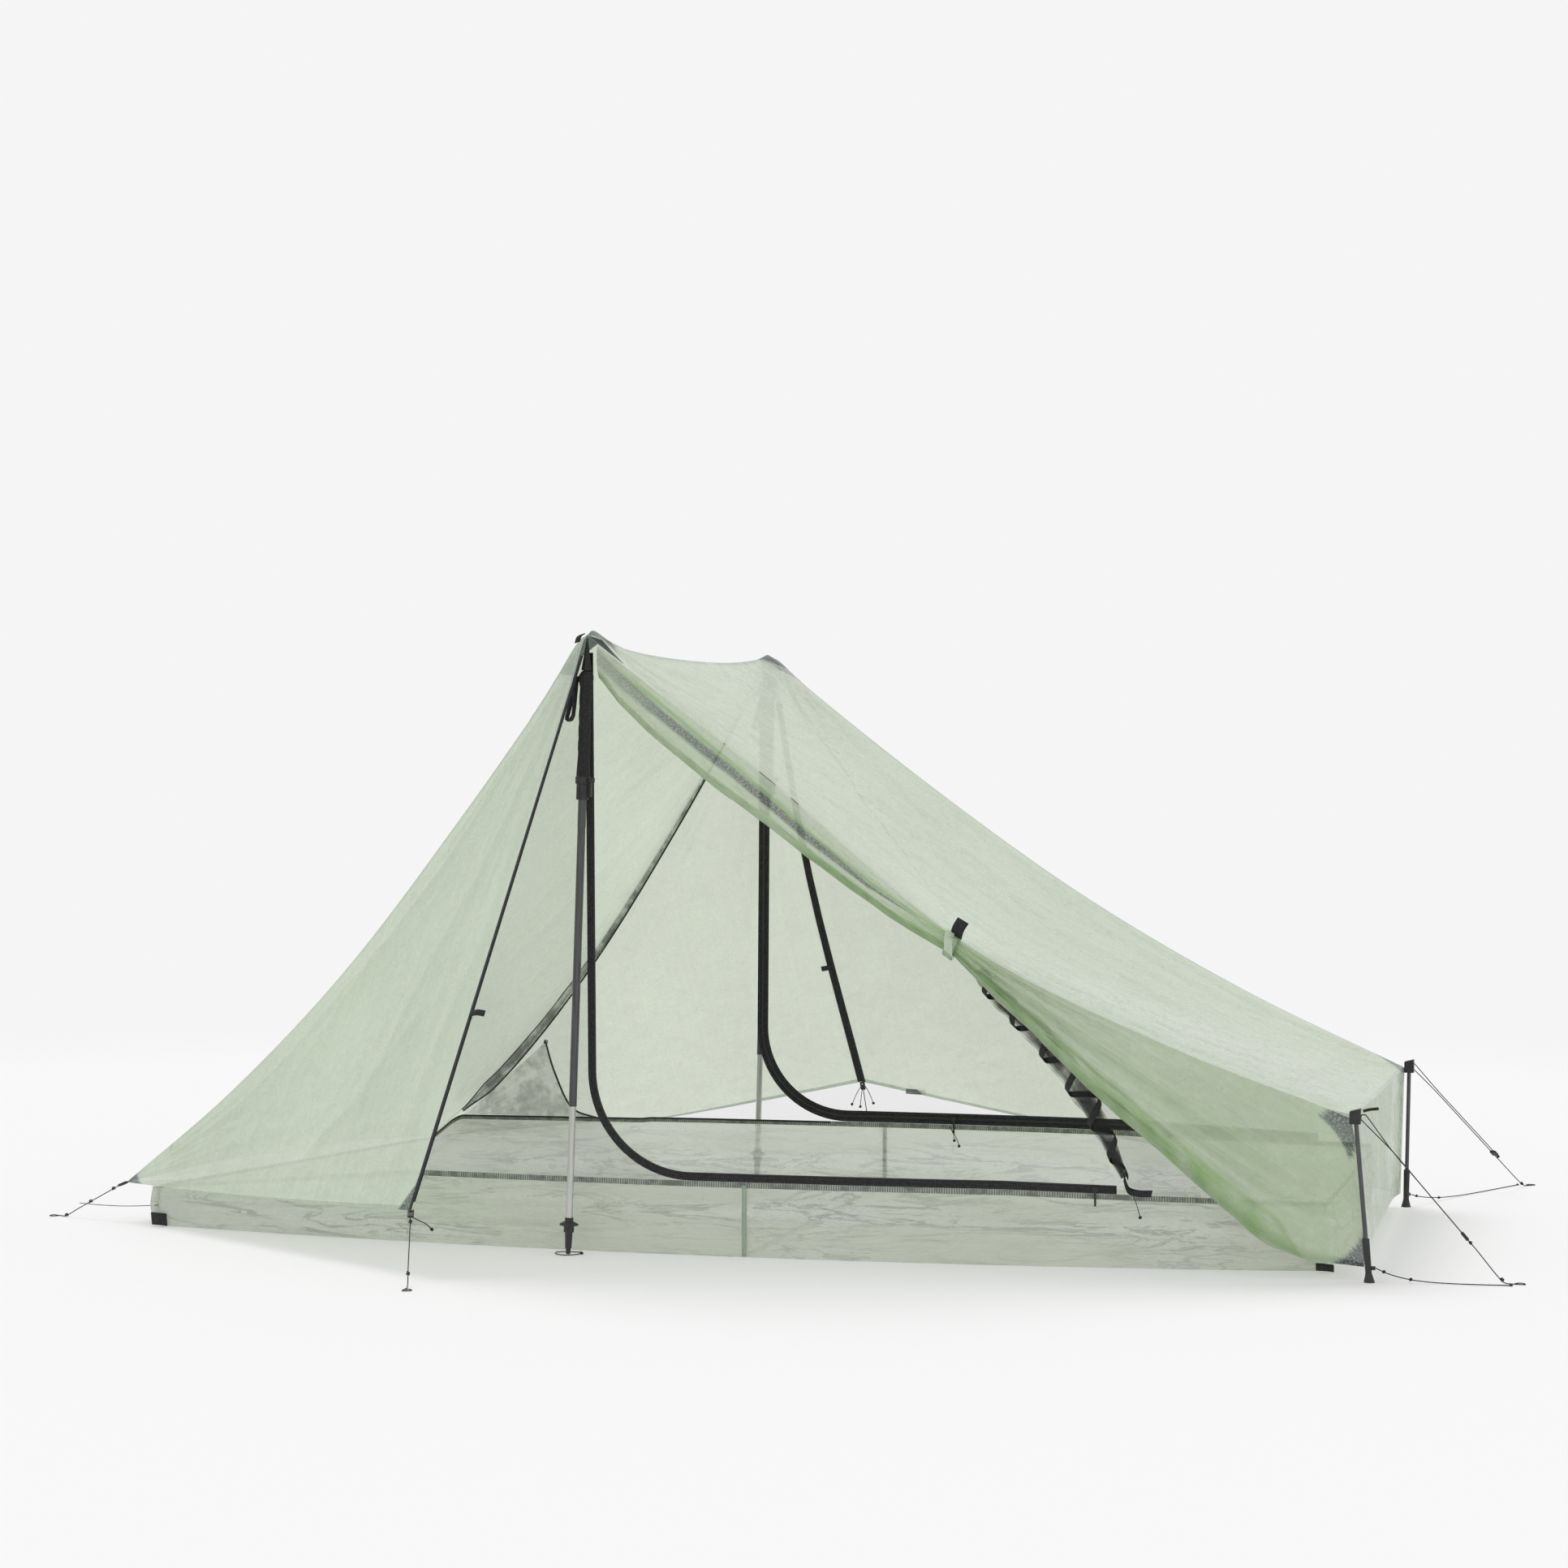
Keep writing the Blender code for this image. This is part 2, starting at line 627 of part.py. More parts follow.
def netting_walls():
    """Fixed netting at the head, the far netting door, and the near one rolled back."""
    for name, side, width, zip_end in (
        ("near_mesh_wall", -1, NEAR_INNER_ZIP_WIDTH, NEAR_INNER_ZIP_END),
        ("far_mesh_wall", 1, FAR_INNER_ZIP_WIDTH, FAR_INNER_ZIP_END),
    ):
        head = FLOOR_HEAD_NEAR + NEAR_NET_START if side < 0 else FLOOR_HEAD_FAR + FAR_NET_START
        line = zip_line(side, width, zip_end, -width / 2 - GAP)
        line = line[: ZIP_RISE_STEPS + ZIP_TURN_STEPS + 1]
        top_x, low_x = line[0][0], line[-1][0]
        line = [(top_x, net_top(side, top_x).z), *line[1:-1], (low_x, net_bottom(side, low_x).z)]
        zip_edge, shares = by_height(line)
        head_edge, _ = by_height([(head, net_top(side, head).z), (head, net_bottom(side, head).z)])
        wall = surface(
            edge_line(side, head, top_x, net_top),
            edge_line(side, head, low_x, net_bottom),
            head_edge,
            zip_edge,
        )
        columns = [(x - head) / (low_x - head) for x in halved(tub_stations(side, head, low_x))]
        net_panel(name, side, grid(wall, columns, shares))

    side = 1
    foot = FLOOR_FOOT - 0.012
    width = FAR_INNER_ZIP_WIDTH
    line = zip_line(side, width, FAR_INNER_ZIP_END, width / 2 + GAP)
    line = line[: ZIP_RISE_STEPS + ZIP_TURN_STEPS + 1]
    top_x = line[0][0]
    line = [(top_x, net_top(side, top_x).z), *line[1:]]
    above_zip = width + 2 * GAP
    low_x = line[-1][0]

    def door_bottom(t):
        x = mix(low_x, foot, t)
        return Vector((x, 0.0, net_bottom(side, x).z + above_zip))

    zip_edge, shares = by_height(line)
    foot_edge, _ = by_height([(foot, net_top(side, foot).z), (foot, door_bottom(1.0).z)])
    door = surface(edge_line(side, top_x, foot, net_top), door_bottom, zip_edge, foot_edge)
    run = halved(tub_stations(side, low_x, foot))
    columns = [(x - low_x) / (foot - low_x) for x in run]
    net_panel("far_mesh_door", side, grid(door, columns, shares))
    near_mesh_door(foot)
    head_strip()


# The rolled netting door hangs from the strap to the end of the open zip
MESH_ROLL_TOP = 0.560
MESH_ROLL_SHARES = [
    (0.800, 1.0),
    (0.838, 0.892),
    (0.905, 0.740),
    (0.962, 0.578),
    (1.010, 0.402),
    (1.046, 0.229),
    (1.074, 0.065),
]
MESH_ROLL = [(x, mix(TUB_WALL, MESH_ROLL_TOP, share)) for x, share in MESH_ROLL_SHARES]
MESH_ROLL_RADIUS = 0.018


def near_mesh_door(foot):
    """Netting still stretched behind the curtain, with the rest of it rolled at its edge."""
    side = -1
    top_x, low_x = MESH_ROLL[0][0] - 0.028, MESH_ROLL[-1][0] + 0.010
    middle = MESH_ROLL[1:-1]
    line = [(top_x, net_top(side, top_x).z), *middle, (low_x, net_bottom(side, low_x).z)]
    rolled_edge, shares = by_height(line)
    foot_edge, _ = by_height([(foot, net_top(side, foot).z), (foot, net_bottom(side, foot).z)])
    rest = surface(
        edge_line(side, top_x, foot, net_top),
        edge_line(side, low_x, foot, net_bottom),
        rolled_edge,
        foot_edge,
    )
    columns = [(x - low_x) / (foot - low_x) for x in halved(tub_stations(side, low_x, foot))]
    panel = net_panel("near_mesh_door", side, grid(rest, columns, shares))
    route = [on_net(side, x, z) for x, z in MESH_ROLL]
    bm = bmesh.new()
    rings = []
    count = 9
    sides = 8
    for k in range(count + 1):
        t = k / count
        p = smooth_through(route, t)
        ahead = smooth_through(route, min(t + 0.02, 1.0)) - smooth_through(route, max(t - 0.02, 0.0))
        frame = facing(p, ahead)
        radius = MESH_ROLL_RADIUS * (0.55 + 0.45 * math.sin(math.pi * (0.12 + 0.76 * t)))
        ring = []
        for j in range(sides):
            a = math.tau * j / sides
            ring.append(bm.verts.new(frame @ Vector((radius * math.cos(a), 0.8 * radius * math.sin(a), 0))))
        rings.append(ring)
    for a, b in zip(rings, rings[1:]):
        for j in range(sides):
            bm.faces.new((a[j], a[(j + 1) % sides], b[(j + 1) % sides], b[j]))
    bm.faces.new(rings[0][::-1])
    bm.faces.new(rings[-1])
    combine(panel, place("mesh_roll_shape", bm, "netting"), "UNION")


def head_strip():
    """Netting between the head end of the tub and the canopy."""
    columns = 8
    low, high = [], []
    for k in range(columns + 1):
        f = mix(0.10, 0.88, k / columns)
        x = mix(FLOOR_HEAD_NEAR, FLOOR_HEAD_FAR, f) + FLOOR_CLOTH / 2
        y = mix(side_y(-1, FLOOR_HEAD_NEAR), side_y(1, FLOOR_HEAD_FAR), f)
        low.append(Vector((x, y, TUB_WALL_HEAD + GAP)))
        x_top = x + 0.010
        high.append(Vector((x_top, y, roof_height(x_top, y) - NET_BELOW_ROOF - GAP)))
    sheet("head_mesh_strip", [high, low], "netting", NETTING)


# Peak patches lie on the canopy round each pole's head
PATCH_REACH = 0.085
PATCH_LIFT = 0.0030


def peak_patch(name, seams, outward):
    """A reinforcement folded over a peak, reaching down the seams that meet there."""
    bm = bmesh.new()
    lift = outward.normalized() * PATCH_LIFT
    peak = bm.verts.new(seams[0](0.0) + lift)
    tips = []
    for line in seams:
        reach = PATCH_REACH / (line(1.0) - line(0.0)).length
        tips.append(bm.verts.new(line(reach) + lift))
    for a, b in zip(tips, tips[1:]):
        bm.faces.new((peak, a, b))
    thicken(place(name, bm, "reinforcement"), NETTING)


def tie_strap():
    """The strap that holds the rolled door up against the hip, with its toggle on the roof."""
    hip = near_hip(TIE_AT)
    tangent = (near_hip(TIE_AT + 0.01) - near_hip(TIE_AT - 0.01)).normalized() * 0.009
    depth = along(DOOR_DEPTH, TIE_AT)
    half = along(DOOR_THICKNESS, TIE_AT) / 2
    off = 0.0046
    roof = foot_cloth(0.035, TIE_AT)
    centre = [
        hip + Vector((0.0, -half, -depth - 1.4 * off)),
        hip + Vector((0.0, -2 * half - off, -depth * 0.90)),
        hip + Vector((0.0, -2 * half - off, -depth * 0.25)),
        hip + Vector((0.0, -half * 0.8, off * 1.2)),
        roof + Vector((0.0006, 0.0, off)),
    ]
    count = len(centre)
    strip("door_tie_strap", centre, [tangent] * count, [-tangent] * count, "canopy", NETTING)


# Trekking poles, built along their own axis from the tip upwards
CLAMP_LENGTH = 0.0457
CLAMP_HIGH = GRIP_TOP - GRIP_LENGTH - GAP
CLAMP_LOW = CLAMP_HIGH - CLAMP_LENGTH
SLEEVE_SHOWS = 0.055
SLEEVE_END = CLAMP_LOW - SLEEVE_SHOWS
CLAMP_RADIUS = HANDLE_TUBE_RADIUS + GAP + 0.0025
RING_RADIUS = CLAMP_RADIUS + 0.0025
RING_HEIGHT = 0.0140
LEVER_THICK = 0.0032
BARREL_RADIUS = 0.0034
PIVOT_OUT = RING_RADIUS + BARREL_RADIUS + 2 * GAP
PIVOT_UP = CLAMP_HIGH - 0.007
PIN_RADIUS = 0.0015
KNOB_RADIUS = 0.0050
KNOB_LENGTH = 0.0030
LEVER_WIDTH = 0.0094
LEVER_LENGTH = 0.033
EAR_WIDTH = 0.0020
MIDDLE_TUBE_TOP = CLAMP_HIGH + GAP
LOWER_TUBE_TOP = 0.420
SHOULDER = 0.071
PLUG_LENGTH = 0.020
COLLAR_RADIUS = 0.0083
BASKET_RADIUS = 0.0185
BASKET_HEIGHT = 0.0640
BASKET_DROOP = 0.0050
SOCKET_RADIUS = 0.0101
SOCKET_END = 0.043
TIP_TAPER = (0.0075, 0.0063)
FERRULE_TOP = 0.0116
FERRULE_RADIUS = 0.0047
STRAP_LENGTH = 0.090
STRAP_WIDTH = 0.018
STRAP_THICK = 0.0028
STRAP_OPEN = 0.0125
STRAP_OUT = GRIP_HEAD_RADIUS + STRAP_THICK / 2 + 0.0010
STRAP_LEAN = math.radians(16)


def grip_profile():
    """The foam grip: rounded head, narrow neck, finger ridges and a flared end, with a blind bore."""
    bore = HANDLE_TUBE_RADIUS + GAP
    low = GRIP_TOP - GRIP_LENGTH
    head = GRIP_HEAD_RADIUS
    neck = GRIP_RADIUS - 0.0008
    outline = [(0.0, GRIP_TOP), (GRIP_RADIUS / 2, GRIP_TOP), (GRIP_RADIUS - 0.002, GRIP_TOP - 0.003)]
    outline += [(head, GRIP_TOP - 0.010), (head, GRIP_TOP - 0.018), (neck, GRIP_TOP - 0.034)]
    ridges = 4
    pitch = 0.030
    for k in range(ridges):
        z = GRIP_TOP - 0.050 - k * pitch
        outline += [(GRIP_RADIUS, z), (GRIP_RADIUS, z - 0.012), (neck, z - 0.021)]
    flare = GRIP_RADIUS + 0.0012
    outline += [(flare, low + 0.006), (flare, low), (bore, low), (bore, GRIP_TOP - 0.012)]
    return outline + [(0.0, GRIP_TOP - 0.012)]


def pole(side, foot, apex, word, cup_drop):
    """One trekking pole: grip, handle tube, lever lock, two telescoping tubes, tip and strap."""
    axis = facing(foot, apex - foot, Vector((0.0, side, 0.0)))
    turned(f"{word}_pole_grip", grip_profile(), "grip_foam", axis)
    handle_high = GRIP_TOP - 0.012 - GAP
    inner = HANDLE_TUBE_RADIUS - TUBE_WALL
    turned(
        f"{word}_pole_handle_tube",
        tube(HANDLE_TUBE_RADIUS, inner, CLAMP_LOW + 0.006, handle_high),
        "carbon",
        axis,
    )
    bore = LOWER_TUBE_RADIUS + RUNNING_GAP
    middle = [(MIDDLE_TUBE_RADIUS, MIDDLE_TUBE_END), (MIDDLE_TUBE_RADIUS, SLEEVE_END)]
    middle += [(SLEEVE_RADIUS, SLEEVE_END + 0.003), (SLEEVE_RADIUS, MIDDLE_TUBE_TOP)]
    middle += [(bore, MIDDLE_TUBE_TOP), (bore, MIDDLE_TUBE_END)]
    turned(f"{word}_pole_middle_tube", middle, "carbon", axis)
    lower_bore = LOWER_TUBE_RADIUS - TUBE_WALL
    turned(
        f"{word}_pole_lower_tube",
        tube(LOWER_TUBE_RADIUS, lower_bore, SHOULDER + GAP, LOWER_TUBE_TOP),
        "silver_tube",
        axis,
    )
    plug = lower_bore - GAP
    plug_top = SHOULDER + PLUG_LENGTH
    tip = [(0.0, plug_top), (plug, plug_top), (plug, SHOULDER), (COLLAR_RADIUS, SHOULDER)]
    tip += [(COLLAR_RADIUS, BASKET_HEIGHT), (BASKET_RADIUS, BASKET_HEIGHT - BASKET_DROOP)]
    tip += [(BASKET_RADIUS, BASKET_HEIGHT - BASKET_DROOP - 0.0025)]
    tip += [(SOCKET_RADIUS, BASKET_HEIGHT - BASKET_DROOP), (SOCKET_RADIUS, SOCKET_END)]
    tip += [(TIP_TAPER[0], SOCKET_END), (TIP_TAPER[1], FERRULE_TOP), (FERRULE_RADIUS, FERRULE_TOP)]
    tip += [(FERRULE_RADIUS, 0.0018), (FERRULE_RADIUS - 0.0015, 0.0003), (0.0, 0.0003)]
    turned(f"{word}_pole_tip", tip, "black_plastic", axis)
    lever_lock(side, axis, word)
    cup_low = GRIP_TOP + GAP
    cup_high = RIDGE_HEIGHT - cup_drop
    cup = [(0.0, cup_high), (0.0010, cup_high), (0.0100, cup_low), (0.0, cup_low)]
    turned(f"{word}_peak_cup", cup, "zip_tape", axis)
    wrist_strap(axis, word)


def lever_lock(side, pole_axis, word):
    """The clamp round the handle tube's end, the lever that closes it, and the outer end of its pin."""
    axis = pole_axis @ Matrix.Rotation(-side * math.pi / 2, 4, "Z")
    bore = HANDLE_TUBE_RADIUS + GAP
    ring_low = CLAMP_HIGH - RING_HEIGHT
    outline = [(CLAMP_RADIUS - 0.0008, CLAMP_LOW), (CLAMP_RADIUS, CLAMP_LOW + 0.0010)]
    outline += [(CLAMP_RADIUS, ring_low - 0.0015), (RING_RADIUS, ring_low)]
    outline += [(RING_RADIUS, CLAMP_HIGH - 0.0012), (RING_RADIUS - 0.0012, CLAMP_HIGH)]
    outline += [(bore, CLAMP_HIGH), (bore, CLAMP_LOW)]
    clamp = turned(f"{word}_pole_clamp", outline, "black_plastic", axis)
    reach = PIVOT_OUT + 0.0030 - (CLAMP_RADIUS - 0.0015)
    ears = LEVER_WIDTH / 2 + GAP + EAR_WIDTH / 2
    for x in (-ears, ears):
        centre = (x, -(CLAMP_RADIUS - 0.0015 + reach / 2), PIVOT_UP)
        ear = place("ear_shape", block((EAR_WIDTH, reach, 0.009), centre), "black_plastic", axis)
        combine(clamp, ear, "UNION")
    ends = LEVER_WIDTH / 2 + GAP + EAR_WIDTH * 0.75
    pin_from = axis @ Vector((-ends, -PIVOT_OUT, PIVOT_UP))
    pin_to = axis @ Vector((ends, -PIVOT_OUT, PIVOT_UP))
    combine(clamp, rod("pin_shape", PIN_RADIUS, pin_from, pin_to, "black_plastic", 10), "UNION")
    knob_end = ears + EAR_WIDTH / 2 + KNOB_LENGTH
    knob_from, knob_to = (axis @ Vector((side * x, -PIVOT_OUT, PIVOT_UP)) for x in (ears, knob_end))
    combine(clamp, rod("knob_shape", KNOB_RADIUS, knob_from, knob_to, "black_plastic", 12), "UNION")

    low = PIVOT_UP - LEVER_LENGTH
    plate_out = RING_RADIUS + GAP + LEVER_THICK / 2
    plate = block(
        (LEVER_WIDTH, LEVER_THICK, LEVER_LENGTH),
        (0.0, -plate_out, (PIVOT_UP + low) / 2),
        bevel=0.0006,
    )
    pivot = Matrix.Translation(axis @ Vector((0.0, -PIVOT_OUT, PIVOT_UP)))
    about_pivot = Matrix.Translation(Vector((0.0, PIVOT_OUT, -PIVOT_UP)))
    bmesh.ops.transform(plate, matrix=about_pivot, verts=plate.verts)
    turn = axis.to_3x3().to_4x4()
    lever = place(f"{word}_pole_lever", plate, "black_plastic", pivot @ turn)
    half = (axis.to_3x3() @ Vector((LEVER_WIDTH / 2, 0.0, 0.0)))
    centre = pivot.to_translation()
    barrel = rod("barrel_shape", BARREL_RADIUS, centre - half, centre + half, "black_plastic", 12)
    combine(lever, barrel, "UNION")
    bore = rod("bore_shape", PIN_RADIUS + GAP, centre - half * 1.2, centre + half * 1.2, "black_plastic", 10)
    combine(lever, bore, "DIFFERENCE")


def prism(name, outline, width, matrix, finish):
    """A body of the given width along Y with an outline of (x, z) points."""
    bm = bmesh.new()
    near, far = ([bm.verts.new((x, y, z)) for x, z in outline] for y in (-width / 2, width / 2))
    bm.faces.new(near)
    bm.faces.new(far[::-1])
    for k in range(len(outline)):
        n = (k + 1) % len(outline)
        bm.faces.new((near[k], far[k], far[n], near[n]))
    return place(name, bm, finish, matrix)


def wrist_strap(axis, word):
    """The doubled webbing strap: flat at the head of the grip, open into a loop at its end."""
    pivot = axis @ Vector((0.0, 0.0, GRIP_TOP - 0.012)) + Vector((-STRAP_OUT, 0.0, 0.0))
    hang = Matrix.Translation(pivot) @ Matrix.Rotation(STRAP_LEAN, 4, "Y")
    half = STRAP_THICK / 2
    low = 0.001 - STRAP_LENGTH
    outline = [(-half, 0.001), (half, 0.001), (half, -0.012), (STRAP_OPEN * 0.75, low * 0.62)]
    outline += [(STRAP_OPEN, low * 0.85), (STRAP_OPEN * 0.85, low * 0.96), (STRAP_OPEN * 0.45, low)]
    outline += [(0.0, low * 0.97), (-half, low * 0.90)]
    strap = prism(f"{word}_pole_strap", outline, STRAP_WIDTH, hang, "zip_tape")
    skin = STRAP_THICK * 0.75
    inside = [(skin * 0.6, low * 0.42), (STRAP_OPEN * 0.75 - skin, low * 0.64)]
    inside += [(STRAP_OPEN - skin, low * 0.84), (STRAP_OPEN * 0.45, low + skin), (skin * 0.6, low * 0.92)]
    combine(strap, prism("loop_shape", inside, STRAP_WIDTH * 2, hang, "zip_tape"), "DIFFERENCE")


GROUND_TIE = 0.026
CAP_SLANT = 0.0025
LUG = Vector((0.008, 0.004, 0.007))


def strut(foot, top, word, peg):
    """A short carbon strut in its foot sleeve, with the cap that holds the canopy's corner."""
    axis = facing(foot, top - foot)
    length = (top - foot).length
    bore = STRUT_RADIUS + GAP
    seat = 0.010
    sleeve = [(0.0, 0.0), (SLEEVE_FLARE, 0.0), (SLEEVE_FLARE - 0.0006, 0.002)]
    sleeve += [(SLEEVE_FOOT_RADIUS + 0.001, 0.010), (SLEEVE_FOOT_RADIUS - 0.0006, 0.017)]
    sleeve += [(SLEEVE_FOOT_RADIUS, SLEEVE_FOOT_HEIGHT)]
    sleeve += [(bore, SLEEVE_FOOT_HEIGHT), (bore, seat), (0.0, seat)]
    upright = Matrix.Translation(foot)
    lean = (top - foot) / (top - foot).z
    shear = Matrix.Identity(4)
    shear[0][2] = lean.x
    shear[1][2] = lean.y
    sleeve_obj = turned(f"{word}_strut_sleeve", sleeve, "black_plastic", None)
    sleeve_obj.data.transform(upright @ shear)
    way = Vector((peg.x - foot.x, peg.y - foot.y, 0.0)).normalized()
    lug_at = foot + lean * GROUND_TIE + way * (SLEEVE_FOOT_RADIUS + LUG.x / 2 - 0.0015)
    lug_frame = Matrix((way, UP.cross(way), UP)).transposed().to_4x4()
    lug_frame = Matrix.Translation(lug_at) @ lug_frame
    combine(sleeve_obj, place("lug_shape", block(LUG, (0, 0, 0)), "black_plastic", lug_frame), "UNION")
    rod_start = axis @ Vector((0.0, 0.0, seat + 2 * GAP))
    rod_end = axis @ Vector((0.0, 0.0, length - 2 * GAP))
    rod(f"{word}_strut", STRUT_RADIUS, rod_start, rod_end, "carbon", 12)
    wall = 0.006
    bm = block(
        (2 * CAP_HALF, 2 * CAP_HALF, CAP_HEIGHT),
        top + Vector((0.0, 0.0, wall - CAP_HEIGHT / 2)),
        bevel=0.0008,
    )
    for v in bm.verts:
        if v.co.z > top.z:
            v.co.z += CAP_SLANT * (v.co.x - top.x) / CAP_HALF
    cap = place(f"{word}_strut_cap", bm, "black_plastic")
    below = axis @ Vector((0.0, 0.0, length - 2 * CAP_HEIGHT))
    hole = rod("hole_shape", STRUT_RADIUS + GAP, below, axis @ Vector((0.0, 0.0, length)), "black_plastic")
    combine(cap, hole, "DIFFERENCE")


# Guylines, with the buckles and adjusters they run through
CORD = 0.0020
BUCKLE = Vector((0.012, 0.005, 0.020))
ADJUSTER = Vector((0.014, 0.006, 0.018))
STRANDS = 0.0070
NEAR_HEAD_GUY = Vector((-1.240, -0.376, 0.0))
NEAR_VESTIBULE_GUY = Vector((-0.128, -1.134, 0.0))
NEAR_FOOT_GUY = Vector((1.815, -0.515, 0.0))
FAR_FOOT_GUY = Vector((1.760, 0.990, 0.0))
LOOP_RADIUS = 0.009


def end_loop(end, heading):
    """Points round the loop that lies on the ground at a guyline's end."""
    heading = Vector((heading.x, heading.y, 0.0)).normalized()
    aside = Vector((-heading.y, heading.x, 0.0))
    floor = Vector((end.x, end.y, CORD * 0.6))
    angles = (-60, -15, 35, 85, 135, 185, 225)
    centre = floor - heading * LOOP_RADIUS * 1.2
    points = [floor - heading * LOOP_RADIUS * 4.2]
    for degrees in angles:
        a = math.radians(degrees)
        points.append(centre + (heading * math.cos(a) + aside * math.sin(a)) * LOOP_RADIUS)
    return points


def buckle(name, corner, toward):
    """A webbing buckle beyond a corner of the cloth, in line with its guyline."""
    way = (toward - corner).normalized()
    axis = facing(corner + way * (BUCKLE.z / 2 - GAP), way, UP)
    body = place(name, block(BUCKLE, (0, 0, 0), bevel=0.0012), "black_plastic", axis)
    slot_size = (BUCKLE.x * 0.55, BUCKLE.y * 2, BUCKLE.z * 0.28)
    slot = place("slot_shape", block(slot_size, (0, 0, -BUCKLE.z * 0.18)), "black_plastic", axis)
    combine(body, slot, "DIFFERENCE")
    return axis @ Vector((0.0, 0.0, BUCKLE.z / 2 + 2 * GAP)), way


def corner_guy(word, corner, end, samples):
    """A buckle at a corner of the canopy and the line from it to its loop on the ground."""
    start, _ = buckle(f"{word}_buckle", corner, end)
    loop = end_loop(end, end - start)
    route = [start, *(mix(start, loop[0], k / 4) for k in range(1, 4)), *loop]
    cord(f"{word}_cord", route, CORD, samples)


HANG_DROP = 0.085


def hanging_guy(word, corner, end):
    """A buckle at a corner whose line isn't pegged out and hangs down."""
    start, way = buckle(f"{word}_buckle", corner, end)
    route = [mix(start, start + way * HANG_DROP, f) for f in (0.0, 0.25, 0.5, 0.75)]
    route.append(start + way * HANG_DROP + Vector((0.006, -0.004, 0.0)))
    cord(f"{word}_cord", route, CORD, 12)


def floor_guy():
    """The thin line from the floor's near head corner to the canopy's guyline."""
    corner = Vector((FLOOR_HEAD_NEAR, side_y(-1, FLOOR_HEAD_NEAR), TUB_WALL_HEAD / 2))
    meet = mix(NEAR_HEAD, NEAR_HEAD_GUY, 0.62)
    way = (meet - corner).normalized()
    start = corner + way * (CORD / 4)
    goal = meet - way * (CORD + GAP)
    route = [mix(start, goal, f) - UP * 0.004 * math.sin(math.pi * f) for f in even(4)]
    cord("head_floor_cord", route, CORD * 0.75, 12)


def foot_guy(word, strut_top, end, at):
    """The doubled line from a strut's cap, through its adjuster, to its loop on the ground."""
    goal = end_loop(end, end - strut_top)
    flat = Vector((end.x - strut_top.x, end.y - strut_top.y, 0.0)).normalized()
    face = CAP_HALF / max(abs(flat.x), abs(flat.y))
    start = strut_top + flat * (face + CORD / 2 + 2 * GAP) + Vector((0, 0, -0.004))
    way = (goal[0] - start).normalized()
    aside = way.cross(UP).normalized() * (STRANDS / 2)
    length = (goal[0] - start).length
    place_at = start + way * length * at
    tail = place_at + way * (ADJUSTER.z / 2 + 0.010)
    first = [mix(tail, start + way * 0.012, k / 4) + aside for k in range(5)]
    turn = [start + way * 0.003 + aside * 0.75, start, start + way * 0.003 - aside * 0.75]
    second = [start + way * 0.012 - aside]
    for k in range(1, 5):
        second.append(mix(start + way * 0.012, place_at + way * 0.030, k / 4) - aside)
    cord(f"{word}_cord", [*first, *turn, *second, *goal], CORD, 28)

    axis = facing(place_at, way, UP)
    body = place(f"{word}_adjuster", block(ADJUSTER, (0, 0, 0), bevel=0.0015), "black_plastic", axis)
    reach = way * ADJUSTER.z
    for shift in (aside, -aside):
        ends = (place_at - reach + shift, place_at + reach + shift)
        hole = rod("hole_shape", CORD / 2 + 0.0005, *ends, "cord", 10)
        combine(body, hole, "DIFFERENCE")


def ground_cord(word, foot, top, end, sideways):
    """The cord from a strut's sleeve along the ground to the guyline's end."""
    way = Vector((end.x - foot.x, end.y - foot.y, 0.0)).normalized()
    aside = Vector((-way.y, way.x, 0.0)) * sideways
    lean = (top - foot) / (top - foot).z
    start = foot + lean * GROUND_TIE + way * (SLEEVE_FOOT_RADIUS - 0.0015 + LUG.x + CORD / 4 + GAP)
    goal = Vector((end.x, end.y, CORD * 0.6)) - way * 0.030 + aside
    route = []
    for f in (0.0, 0.06, 0.14, 0.26, 0.42, 0.60, 0.80, 1.0):
        point = mix(start, goal, f)
        point.z = mix(goal.z, start.z, (1 - f) ** 5)
        route.append(point)
    cord(f"{word}_ground_cord", route, CORD, 14)


# Zip sliders, each with its pull
SLIDER = Vector((0.012, 0.0036, 0.010))
SLIDER_OFF = NETTING / 2 + 0.0008
PULL = Vector((0.004, 0.0018, 0.034))


def slider(name, on_tape, direction, outward, hang, off):
    """A slider on the face of a zip, with its pull hanging from it."""
    axis = facing(on_tape + outward * (off + SLIDER.y / 2), direction, outward)
    body = place(name, block((SLIDER.z, SLIDER.y, SLIDER.x), (0, 0, 0), bevel=0.0008), "black_plastic", axis)
    face = on_tape + outward * (off + SLIDER.y * 0.8)
    middle = face + outward * PULL.y / 2 + hang * (PULL.z / 2 - 0.002)
    lie = facing(middle, hang, outward)
    pull = place("pull_shape", block(PULL, (0, 0, 0)), "black_plastic", lie)
    combine(body, pull, "UNION")


def inner_slider(name, side, x, width, outward):
    """A slider on the level run of an inner zip."""
    stations = tub_stations(side, -1.0, 2.0)
    before = max(p for p in stations if p <= x)
    after = min(p for p in stations if p > x)
    a, b = (on_net(side, p, tub_height(side, p) + GAP + width / 2) for p in (before, after))
    way = (b - a).normalized()
    flat = Vector((-way.y, way.x, 0.0)) * outward
    slider(name, mix(a, b, (x - before) / (after - before)), way, flat.normalized(), -UP, SLIDER_OFF)


